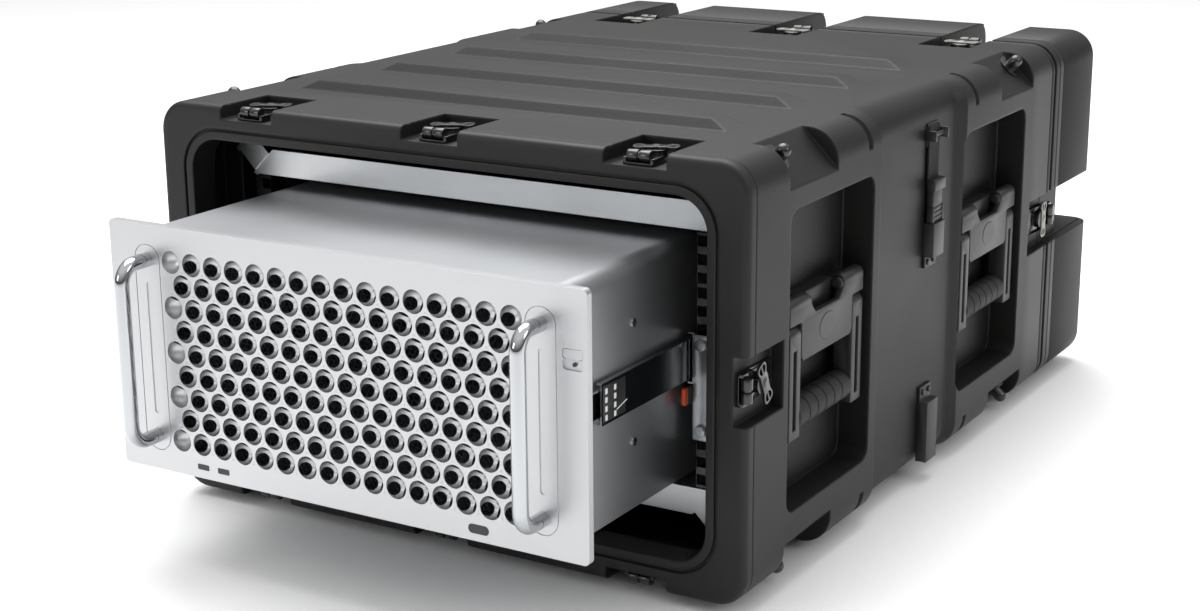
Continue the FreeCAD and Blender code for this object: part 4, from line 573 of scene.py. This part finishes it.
@dataclass
class TelescopicSlides(Assembly):
    """Slides, brackets, screws and release levers. Sizes in millimetres."""

    web_face_x: float = 222.0
    slide_z: float = MIDDLE_Z + 2.2
    stop_front_y: float = -84.5
    stop_size: tuple[float, float, float] = (0.7, 34.0, 30.0)
    rivet_places: tuple[tuple[float, float], ...] = ((11.0, -6.5), (11.0, 6.5))
    rivet_radius: float = 1.6
    rivet_height: float = 1.1
    roller_columns: tuple[float, ...] = (4.0, 17.5)
    roller_rows: tuple[float, ...] = (-11.5, -4.2, 3.2, 10.4)
    roller_size: tuple[float, float, float] = (0.5, 3.2, 4.6)
    wire_start: tuple[float, float, float] = (0.8, 20.0, -9.0)
    wire_run: tuple[float, float, float] = (0.0, 16.0, 4.0)
    wire_radius: float = 0.45
    lever_low: tuple[float, float, float] = (220.0, 46.0, 151.6)
    lever_high: tuple[float, float, float] = (224.2, 70.0, 166.5)
    arm_inset: tuple[float, float, float] = (1.6, 5.0, 0.0)
    tip_length: float = 6.0
    pivot_x: float = 221.0
    pivot_radius: float = 3.1
    web_area: float = 1e-3  # square metres: only a member's web is larger

    def build(self) -> None:
        """Dress the slides and add what runs in them."""
        self.refine("slide_outers", ZINC)
        self.refine("slide_brackets", ZINC, 0.25)
        self.refine("slide_bracket_screws", SCREW_ZINC, 0.3)
        for node in ("slide_mids", "slide_inners"):
            member = self.refine(node, ZINC)
            self.paint_faces(member, DIPPED,
                             lambda face: abs(face.normal.x) > 0.9 and face.area > self.web_area)
        for side in Side:
            self.add_stop(side)
            self.add_rollers(side)
            self.add_lever(side)

    def stop_spot(self, off: float, back: float, up: float) -> Vector:
        """Find a place on a stop plate: off the web, back from its front edge and above its middle."""
        return spot(self.web_face_x + off, self.stop_front_y + back, self.slide_z + up)

    def add_stop(self, side: Side) -> None:
        """Add the black front stop plate of a middle member, with its rivets."""
        mesh = bmesh.new()
        thick, long, tall = self.stop_size
        add_block(mesh, self.stop_spot(0, 0, -tall / 2), self.stop_spot(thick, long, tall / 2), 0.25)
        for back, up in self.rivet_places:
            add_rod(mesh, self.stop_spot(0, back, up), self.stop_spot(self.rivet_height, back, up),
                    self.rivet_radius, 16)
        mirror_to(mesh, side)
        self.hand_in(from_bmesh("slide_stop_" + side.name.lower(), mesh), NYLON, "slide_mids")

    def add_rollers(self, side: Side) -> None:
        """Add the pale rollers that show through the stop plate, and its latch wire."""
        mesh = bmesh.new()
        thick, long, tall = self.roller_size
        for column in self.roller_columns:
            for row in self.roller_rows:
                centre = self.stop_spot(self.stop_size[0], column, row)
                add_block(mesh, centre - Vector((0, long, tall)) * MM / 2,
                          centre + Vector((thick * 2, long, tall)) * MM / 2, 0.2)
        start = self.stop_spot(*self.wire_start)
        add_rod(mesh, start, start + Vector(self.wire_run) * MM, self.wire_radius, 8)
        mirror_to(mesh, side)
        self.hand_in(from_bmesh("slide_rollers_" + side.name.lower(), mesh), ROLLER, "slide_mids")

    def add_lever(self, side: Side) -> None:
        """Replace a release lever by a black arm with an orange tip."""
        node = "release_lever_" + side.name.lower()
        low, high = spot(*self.lever_low), spot(*self.lever_high)
        arm = bmesh.new()
        add_block(arm, low + Vector(self.arm_inset) * MM, high, 0.6)
        foot = spot(self.pivot_x, self.lever_high[1], self.lever_low[2])
        add_rod(arm, foot, Vector((foot.x, foot.y, high.z)), self.pivot_radius, 24, 0.4)
        mirror_to(arm, side)
        self.hand_in(from_bmesh(node + "_arm", arm), NYLON, node, node)
        tip = bmesh.new()
        add_block(tip, low, Vector((high.x, low.y + self.tip_length * MM, high.z)), 1.2, 3)
        mirror_to(tip, side)
        self.hand_in(from_bmesh(node + "_tip", tip), ACETAL, node)


@dataclass
class EquipmentUnit(Assembly):
    """The slide-out unit. Sizes in millimetres."""

    cell_pitch: float = 5.0
    cell_wall: float = 0.45
    screen_thick: float = 0.9

    def add_screen(self) -> None:
        """Replace the plain screen by a honeycomb one."""
        low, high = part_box("grille_mesh")
        pitch = self.cell_pitch * MM
        row = pitch * math.sqrt(3) / 2
        mesh = bmesh.new()
        rows, columns = int((high.z - low.z) / row) - 1, int((high.x - low.x) / pitch) - 1
        turn = Matrix.Rotation(math.radians(90), 4, "X") @ Matrix.Rotation(math.radians(30), 4, "Z")
        for i in range(rows):
            for k in range(columns):
                x = low.x + pitch * (k + 1 + 0.5 * (i % 2)) - pitch / 4
                centre = Vector((x, low.y, low.z + row * (i + 1)))
                bmesh.ops.create_circle(mesh, cap_ends=True, segments=6, radius=pitch / math.sqrt(3),
                                        matrix=Matrix.Translation(centre) @ turn)
        bmesh.ops.remove_doubles(mesh, verts=mesh.verts, dist=pitch * 0.05)
        cells = mesh.faces[:]
        bmesh.ops.inset_individual(mesh, faces=cells, thickness=self.cell_wall * MM / 2)
        bmesh.ops.delete(mesh, geom=cells, context="FACES")
        bmesh.ops.solidify(mesh, geom=mesh.faces[:], thickness=self.screen_thick * MM)
        bmesh.ops.recalc_face_normals(mesh, faces=mesh.faces)
        self.hand_in(from_bmesh("honeycomb_screen", mesh), SCREEN, "unit", "grille_mesh")

    def build(self) -> None:
        """Dress the unit."""
        self.add_screen()
        self.refine("front_panel", ANODISED)
        self.refine("unit_tub", HOUSING)
        self.refine("unit_cover", HOUSING)
        self.refine("panel_handles", CHROME)
        self.refine("power_key", ANODISED)
        self.refine("panel_inserts", PORT)
        self.refine("unit_screws", SCREW_ZINC)


@dataclass
class SpringHandles(Assembly):
    """Four spring handles: a hinge plate with a barrel, a bail and a ribbed grip. Sizes in millimetres."""

    face_x: float = 301.5
    plate_top: float = 242.85
    plate_thick: float = 6.0
    half: float = 73.5
    barrel_radius: float = 7.0
    recess_floor: float = 275.0
    hinge_x: float = 291.5
    hinge_z: float = 209.85
    grip_x: float = 289.1
    grip_z: float = 136.35
    grip_half: float = 52.0
    grip_radius: float = 13.4
    groove_depth: float = 1.1
    groove_width: float = 2.6
    groove_places: tuple[float, ...] = (-33.0, -16.5, 0.0, 16.5, 33.0)
    grip_core: float = 6.0
    grip_edge: float = 1.2
    sites: tuple[tuple[str, float], ...] = (("front", 159.0), ("rear", 543.5))
    # right half of the plate's outline: off its middle, and down from its top
    outline: tuple[tuple[float, float], ...] = (
        (0, 19), (24, 19), (30, 13), (34, 7), (73.5, 7), (73.5, 22.4), (52.5, 22.4), (50.7, 24.4), (50.7, 53),
        (47, 57), (0, 57))
    notch_half: float = 34.0
    cap_length: float = 4.0
    leg_y: float = 44.7
    leg_half: tuple[float, float] = (6.0, 16.0)
    pin_span: tuple[float, float] = (45.0, 73.4)
    pin_radius: float = 3.0
    backing_y: float = 60.0
    backing_half: float = 12.0
    backing_drop: tuple[float, float] = (20.0, 8.0)
    tray_half: float = 36.0
    tray_drop: tuple[float, float] = (30.0, 4.0)
    tray_depth: float = 12.0
    pad_drop: float = 37.0
    pad_radii: tuple[float, float] = (12.5, 11.7)
    pad_height: float = 0.8
    pad_stretch: float = 1.35

    def build(self) -> None:
        """Model the plates and grips, and dress the bails."""
        plates = bmesh.new()
        for side in Side:
            pair = bmesh.new()
            for _, y in self.sites:
                self.add_plate(pair, y)
            mirror_to(pair, side)
            data = bpy.data.meshes.new("pair")
            pair.to_mesh(data)
            pair.free()
            plates.from_mesh(data)
            bpy.data.meshes.remove(data)
        self.hand_in(from_bmesh("handle_plates_finished", plates), NYLON, "case", "handle_plates")
        for end, y in self.sites:
            for side in Side:
                place = "%s_%s" % (end, side.name.lower())
                self.refine("handle_bail_" + place, NYLON, 0.9)
                self.add_grip(place, y, side)

    def add_plate(self, mesh: bmesh.types.BMesh, y: float) -> None:
        """Add one right-hand hinge plate: face, barrel, legs, pins, backing, tray and plain oval pad.

        Args:
            mesh: Mesh that gains the plate.
            y: The plate's middle, from the front rim.
        """
        top, face = self.plate_top, self.face_x
        back = face - self.plate_thick
        right = [(across, top - down) for across, down in self.outline]
        left = [(-across, up) for across, up in right[-2:0:-1]]
        outline = [spot(back, y + across, up) for across, up in right + left]
        add_prism(mesh, outline, Vector((self.plate_thick, 0, 0)) * MM, 0.8)
        barrel_x, barrel_z = face - self.barrel_radius, top - self.barrel_radius
        leg_long, leg_tall = self.leg_half
        for sign in (-1, 1):
            add_rod(mesh, spot(barrel_x, y + sign * self.notch_half, barrel_z),
                    spot(barrel_x, y + sign * self.half, barrel_z), self.barrel_radius, 40, 1.0)
            cap = spot(barrel_x + 1, y + sign * self.notch_half, barrel_z - 1)
            add_rod(mesh, cap - Vector((0, sign * self.cap_length, 0)) * MM, cap, self.barrel_radius - 2, 32,
                    0.6)
            leg = y + sign * self.leg_y
            add_block(mesh, spot(self.recess_floor, leg - leg_long, self.hinge_z - leg_tall),
                      spot(back, leg + leg_long, self.hinge_z + leg_tall), 0.8)
            start, end = (spot(self.hinge_x, y + sign * reach, self.hinge_z) for reach in self.pin_span)
            add_rod(mesh, start, end, self.pin_radius, 24, 0.3)
            backing = y + sign * self.backing_y
            add_block(mesh, spot(self.recess_floor, backing - self.backing_half, top - self.backing_drop[0]),
                      spot(face - 2, backing + self.backing_half, top - self.backing_drop[1]), 0.8)
        add_block(mesh, spot(self.recess_floor, y - self.tray_half, top - self.tray_drop[0]),
                  spot(face - self.tray_depth, y + self.tray_half, top - self.tray_drop[1]), 1.5)
        centre = spot(face, y, top - self.pad_drop)
        made = bmesh.ops.create_cone(mesh, cap_ends=True, cap_tris=False, segments=48,
                                     radius1=self.pad_radii[0] * MM, radius2=self.pad_radii[1] * MM,
                                     depth=self.pad_height * MM,
                                     matrix=Matrix.Translation(centre) @ Matrix.Rotation(math.pi / 2, 4, "Y"))
        bmesh.ops.scale(mesh, vec=(1, self.pad_stretch, 1), verts=made["verts"],
                        space=Matrix.Translation(-centre))

    def add_grip(self, place: str, y: float, side: Side) -> None:
        """Spin one soft grip with its finger grooves and set it on its bail.

        Args:
            place: End and side of the case, as in the node's name.
            y: The grip's middle, from the front rim.
            side: Side of the case.
        """
        end, full = self.grip_half, self.grip_radius
        deep = full - self.groove_depth
        profile = [(-end, self.grip_core), (-end, full - self.grip_edge), (self.grip_edge - end, full)]
        wide = self.groove_width / 2
        for groove in self.groove_places:
            profile += [(groove - wide, full), (groove - wide / 2, deep), (groove + wide / 2, deep),
                        (groove + wide, full)]
        profile += [(end - self.grip_edge, full), (end, full - self.grip_edge), (end, self.grip_core)]
        mesh = bmesh.new()
        verts = [mesh.verts.new(spot(self.grip_x + radius, y + along, self.grip_z))
                 for along, radius in profile]
        edges = [mesh.edges.new(pair) for pair in zip(verts, verts[1:])]
        bmesh.ops.spin(mesh, geom=verts + edges, cent=spot(self.grip_x, y, self.grip_z), axis=(0, 1, 0),
                       angle=math.tau, steps=56, use_merge=True)
        bmesh.ops.remove_doubles(mesh, verts=mesh.verts, dist=WELD_DISTANCE)
        bmesh.ops.holes_fill(mesh, edges=[edge for edge in mesh.edges if edge.is_boundary], sides=0)
        bmesh.ops.recalc_face_normals(mesh, faces=mesh.faces)
        mirror_to(mesh, side)
        node = "handle_grip_" + place
        self.hand_in(from_bmesh(node + "_finished", mesh), GRIP, body_of(node), node)


@dataclass
class TwistLatches(Assembly):
    """Sixteen twist latches. Sizes in millimetres."""

    pitch: float = 202.0
    bay_depth: float = 12.7
    front_axis: float = 36.0
    rear_axis: float = 706.0
    disc_foot: float = 7.0
    disc_radius: float = 10.0
    plate_foot: float = 9.0
    plate_thick: float = 2.2
    rivet_radius: float = 3.6
    rivet_height: float = 0.9
    washer_radius: float = 5.2
    washer_height: float = 0.3
    lean: float = 25.0
    plate_round: float = 0.45
    disc_round: float = 0.4
    rivet_round: float = 0.5
    washer_round: float = 0.2
    # a quarter of a wing's outline, and one of its four windows
    wing: tuple[tuple[float, float], ...] = ((3.0, 5.6), (8.5, 5.4), (13.0, 7.3), (16.6, 7.3), (18.6, 5.6),
                                             (19.4, 2.6))
    window: tuple[tuple[float, float], ...] = ((9.6, 1.0), (10.6, 3.4), (13.2, 5.2), (15.4, 5.2), (16.8, 3.6),
                                               (17.1, 1.0))

    def build(self) -> None:
        """Dress the bases and claws, and model every wing."""
        self.refine("latch_bases", CAST_BLACK, 0.3)
        self.refine("latch_claws", CAST_BLACK, 0.3)
        for node in sorted(frame["nodes"]):
            if node.startswith("latch_wing_"):
                self.add_wing(node)

    def site(self, node: str) -> Matrix:
        """Find a latch's own frame: X across, Y inwards, Z outwards, in millimetres.

        Args:
            node: The wing's CAD node.

        Returns:
            Matrix from that frame to the row frame.
        """
        words = node.split("_")
        rear, face, place = words[2] == "rear", words[3], words[4]
        y = self.rear_axis if rear else self.front_axis
        if face == "side":
            sign = 1 if place == "right" else -1
            at, spin = spot(sign * (SHELL_HALF_WIDTH - self.bay_depth), y, MIDDLE_Z), 90 * sign
        else:
            top = face == "top"
            shift = self.pitch * {"left": -1, "middle": 0, "right": 1}[place]
            at = spot(shift, y, SHELL_HEIGHT - self.bay_depth if top else self.bay_depth)
            spin = 0 if top else 180
        turn = Matrix.Rotation(math.radians(spin), 4, "Y")
        spin_flat = math.pi if rear else math.radians(self.lean)
        return Matrix.Translation(at) @ turn @ Matrix.Rotation(spin_flat, 4, "Z") @ Matrix.Scale(MM, 4)

    def add_wing(self, node: str) -> None:
        """Model one wing in millimetres: a disc, a pierced butterfly plate, a washer and a rivet."""
        mesh = bmesh.new()
        metre = 1 / MM
        quarter, back = self.wing, self.wing[::-1]
        outline = ([(x, y) for x, y in quarter] + [(x, -y) for x, y in back]
                   + [(-x, -y) for x, y in quarter] + [(-x, y) for x, y in back])
        loops = [[Vector((x, y, self.plate_foot)) for x, y in outline]]
        for across in (-1, 1):
            for up in (-1, 1):
                loops.append([Vector((across * x, up * y, self.plate_foot)) for x, y in self.window])
        add_pierced_plate(mesh, loops, Vector((0, 0, self.plate_thick)),
                          self.plate_round * metre)
        low, high = Vector((0, 0, self.disc_foot)), Vector((0, 0, self.plate_foot))
        add_rod(mesh, low, high, self.disc_radius * metre, 40, self.disc_round * metre)
        top = self.plate_foot + self.plate_thick
        for height, radius, round_mm in ((self.rivet_height, self.rivet_radius, self.rivet_round),
                                         (self.washer_height, self.washer_radius, self.washer_round)):
            add_rod(mesh, high, Vector((0, 0, top + height)), radius * metre, 28, round_mm * metre)
        bmesh.ops.transform(mesh, matrix=self.site(node), verts=mesh.verts)
        finish = CAST_GREY if "_rear_" in node else CAST_BLACK
        self.hand_in(from_bmesh(node + "_butterfly", mesh), finish, body_of(node), node)


@dataclass
class TieStraps(Assembly):
    """A buckled strap on each side. Sizes in millimetres."""

    waist: float = 297.5
    lift: float = 1.6
    thick: float = 1.4
    rib: float = 0.45
    ribs: int = 6
    middle: float = 391.0
    width: float = 25.0
    low: float = 292.0
    high: float = 343.0
    steps: int = 16
    # low corner, high corner and rounding; corners are off the waist, off the strap's middle, and height
    clip_blocks: tuple[tuple[tuple[float, float, float], tuple[float, float, float], float], ...] = (
        ((1.5, -13.0, 281.0), (11.0, 13.0, 292.0), 1.4),
        ((1.5, -11.0, 250.3), (8.4, 11.0, 282.0), 1.0),
        ((2.5, -13.0, 250.3), (9.6, -9.8, 266.0), 1.0),
        ((2.5, 9.8, 250.3), (9.6, 13.0, 266.0), 1.0),
        ((7.5, -8.0, 254.0), (9.4, 8.0, 256.0), 0.6),
        ((7.5, -8.0, 258.5), (9.4, 8.0, 260.5), 0.6),
        ((7.5, -8.0, 263.0), (9.4, 8.0, 265.0), 0.6),
        ((3.0, -8.0, 228.0), (8.0, 8.0, 250.6), 0.8))

    def build(self) -> None:
        """Dress the fittings and model the webbing and the clips."""
        self.refine("strap_fittings", NYLON, 0.5)
        for side in Side:
            self.add_webbing(side)
            self.add_clip(side)

    def add_webbing(self, side: Side) -> None:
        """Weave one ribbed band: a flat back, a ribbed front and closed edges."""
        mesh = bmesh.new()
        columns = self.ribs * 4
        layers = []
        for front in (False, True):
            layer = []
            for step in range(self.steps + 1):
                z = self.low + (self.high - self.low) * step / self.steps
                row = []
                for column in range(columns + 1):
                    across = self.width * (column / columns - 0.5)
                    wave = self.rib * (0.5 - 0.5 * math.cos(math.tau * column * self.ribs / columns))
                    x = self.waist + self.lift + (self.thick + wave if front else 0.0)
                    row.append(mesh.verts.new(spot(x, self.middle + across, z)))
                layer.append(row)
            layers.append(layer)
        back, front = layers
        for layer in layers:
            for near, far in zip(layer, layer[1:]):
                for k in range(columns):
                    mesh.faces.new((near[k], near[k + 1], far[k + 1], far[k]))
        for step in range(self.steps):
            for k in (0, columns):
                mesh.faces.new((back[step][k], back[step + 1][k], front[step + 1][k], front[step][k]))
        for step in (0, self.steps):
            for k in range(columns):
                mesh.faces.new((back[step][k], back[step][k + 1], front[step][k + 1], front[step][k]))
        bmesh.ops.recalc_face_normals(mesh, faces=mesh.faces)
        mirror_to(mesh, side)
        place = side.name.lower()
        band = from_bmesh("webbing_" + place, mesh)
        self.hand_in(band, WEBBING, body_of("strap_webbing"), "strap_webbing")
        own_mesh(band)

    def add_clip(self, side: Side) -> None:
        """Model one quick-release clip: sleeve, waisted body, side catches, finger ribs and prong."""
        node = "strap_clip_" + side.name.lower()
        mesh = bmesh.new()
        for low, high, round_mm in self.clip_blocks:
            add_block(mesh, spot(self.waist + low[0], self.middle + low[1], low[2]),
                      spot(self.waist + high[0], self.middle + high[1], high[2]), round_mm)
        mirror_to(mesh, side)
        self.hand_in(from_bmesh(node + "_finished", mesh), NYLON, node, node)


# ---------------------------------------------------------------------------- studio


@dataclass
class Studio:
    """Pale floor, soft lights and the camera."""

    eye: tuple[float, float, float] = (1.0062, -1.72205, 0.7019)
    pitch: float = 15.56
    yaw: float = 31.22
    roll: float = -0.44
    lens: float = 61.1
    horizon: tuple[float, float] = (0.10, 0.75)
    sky: tuple[float, float] = (0.14, 1.0)
    # name, place, target, side in metres, watts
    softboxes: tuple[tuple, ...] = (
        ("overhead_softbox", (-0.6, 0.5, 2.8), (0, 0, 0.2), 2.6, 112),
        ("front_softbox", (-1.6, -3.0, 1.3), (0, -0.4, 0.2), 1.0, 14),
        ("side_softbox", (3.2, 0.2, 2.0), (0.2, 0.1, 0.2), 1.2, 16))

    def build(self) -> None:
        """Set up the floor, the lights and the camera."""
        self.add_floor()
        self.add_lights()
        self.add_camera()

    def add_floor(self) -> None:
        """Lay a plain pale floor."""
        mesh = bmesh.new()
        bmesh.ops.create_grid(mesh, x_segments=1, y_segments=1, size=30)
        floor = from_bmesh("floor", mesh)
        material = bpy.data.materials.new("pale_floor")
        material.use_nodes = True
        shader = material.node_tree.nodes["Principled BSDF"]
        shader.inputs["Base Color"].default_value = to_linear("#fafafa")
        shader.inputs["Roughness"].default_value = 0.9
        floor.data.materials.append(material)

    def add_light(self, name: str, place: Sequence[float], target: Sequence[float], size: float,
                  power: float) -> None:
        """Add one soft square light.

        Args:
            name: Its name.
            place: Its middle, in metres.
            target: Point that it looks at.
            size: Its side, in metres.
            power: Its power, in watts.
        """
        data = bpy.data.lights.new(name, "AREA")
        data.size = size
        data.energy = power
        light = bpy.data.objects.new(name, data)
        light.location = place
        light.rotation_euler = (Vector(target) - Vector(place)).to_track_quat("-Z", "Y").to_euler()
        bpy.context.scene.collection.objects.link(light)

    def add_lights(self) -> None:
        """Light the case from above and the panel from the front, under a sky that pales upwards."""
        world = bpy.data.worlds.new("studio_world")
        world.use_nodes = True
        tree = world.node_tree
        back = tree.nodes["Background"]
        back.inputs["Color"].default_value = to_linear("#ffffff")
        where = add_node(tree, "ShaderNodeTexCoord")
        split = add_node(tree, "ShaderNodeSeparateXYZ", links={"Vector": where.outputs["Generated"]})
        fade = add_node(tree, "ShaderNodeMapRange", {
            "From Min": self.horizon[0], "From Max": self.horizon[1], "To Min": self.sky[0],
            "To Max": self.sky[1]}, {"Value": split.outputs["Z"]})
        tree.links.new(fade.outputs[0], back.inputs["Strength"])
        bpy.context.scene.world = world
        bpy.context.scene.view_settings.view_transform = "Standard"
        for softbox in self.softboxes:
            self.add_light(*softbox)

    def add_camera(self) -> None:
        """Put the camera at its place."""
        data = bpy.data.cameras.new("camera")
        data.lens = self.lens
        data.sensor_width = 36
        data.clip_end = 100
        camera = bpy.data.objects.new("camera", data)
        turn = Euler((math.radians(90 - self.pitch), 0, math.radians(self.yaw))).to_matrix()
        camera.rotation_euler = (turn @ Matrix.Rotation(math.radians(self.roll), 3, "Z")).to_euler()
        camera.location = self.eye
        bpy.context.scene.collection.objects.link(camera)
        bpy.context.scene.camera = camera


def main() -> None:
    """Build every sub-assembly in order."""
    logging.basicConfig(level=logging.INFO, format="%(message)s")
    for assembly in (MouldedShell(), RearLid(), ShockFrame(), TelescopicSlides(), EquipmentUnit(),
                     SpringHandles(), TwistLatches(), TieStraps()):
        assembly.build()
        LOG.info("%s: %d pieces", type(assembly).__name__, len(assembly.made))
    Studio().build()


if __name__ == "__main__":
    main()
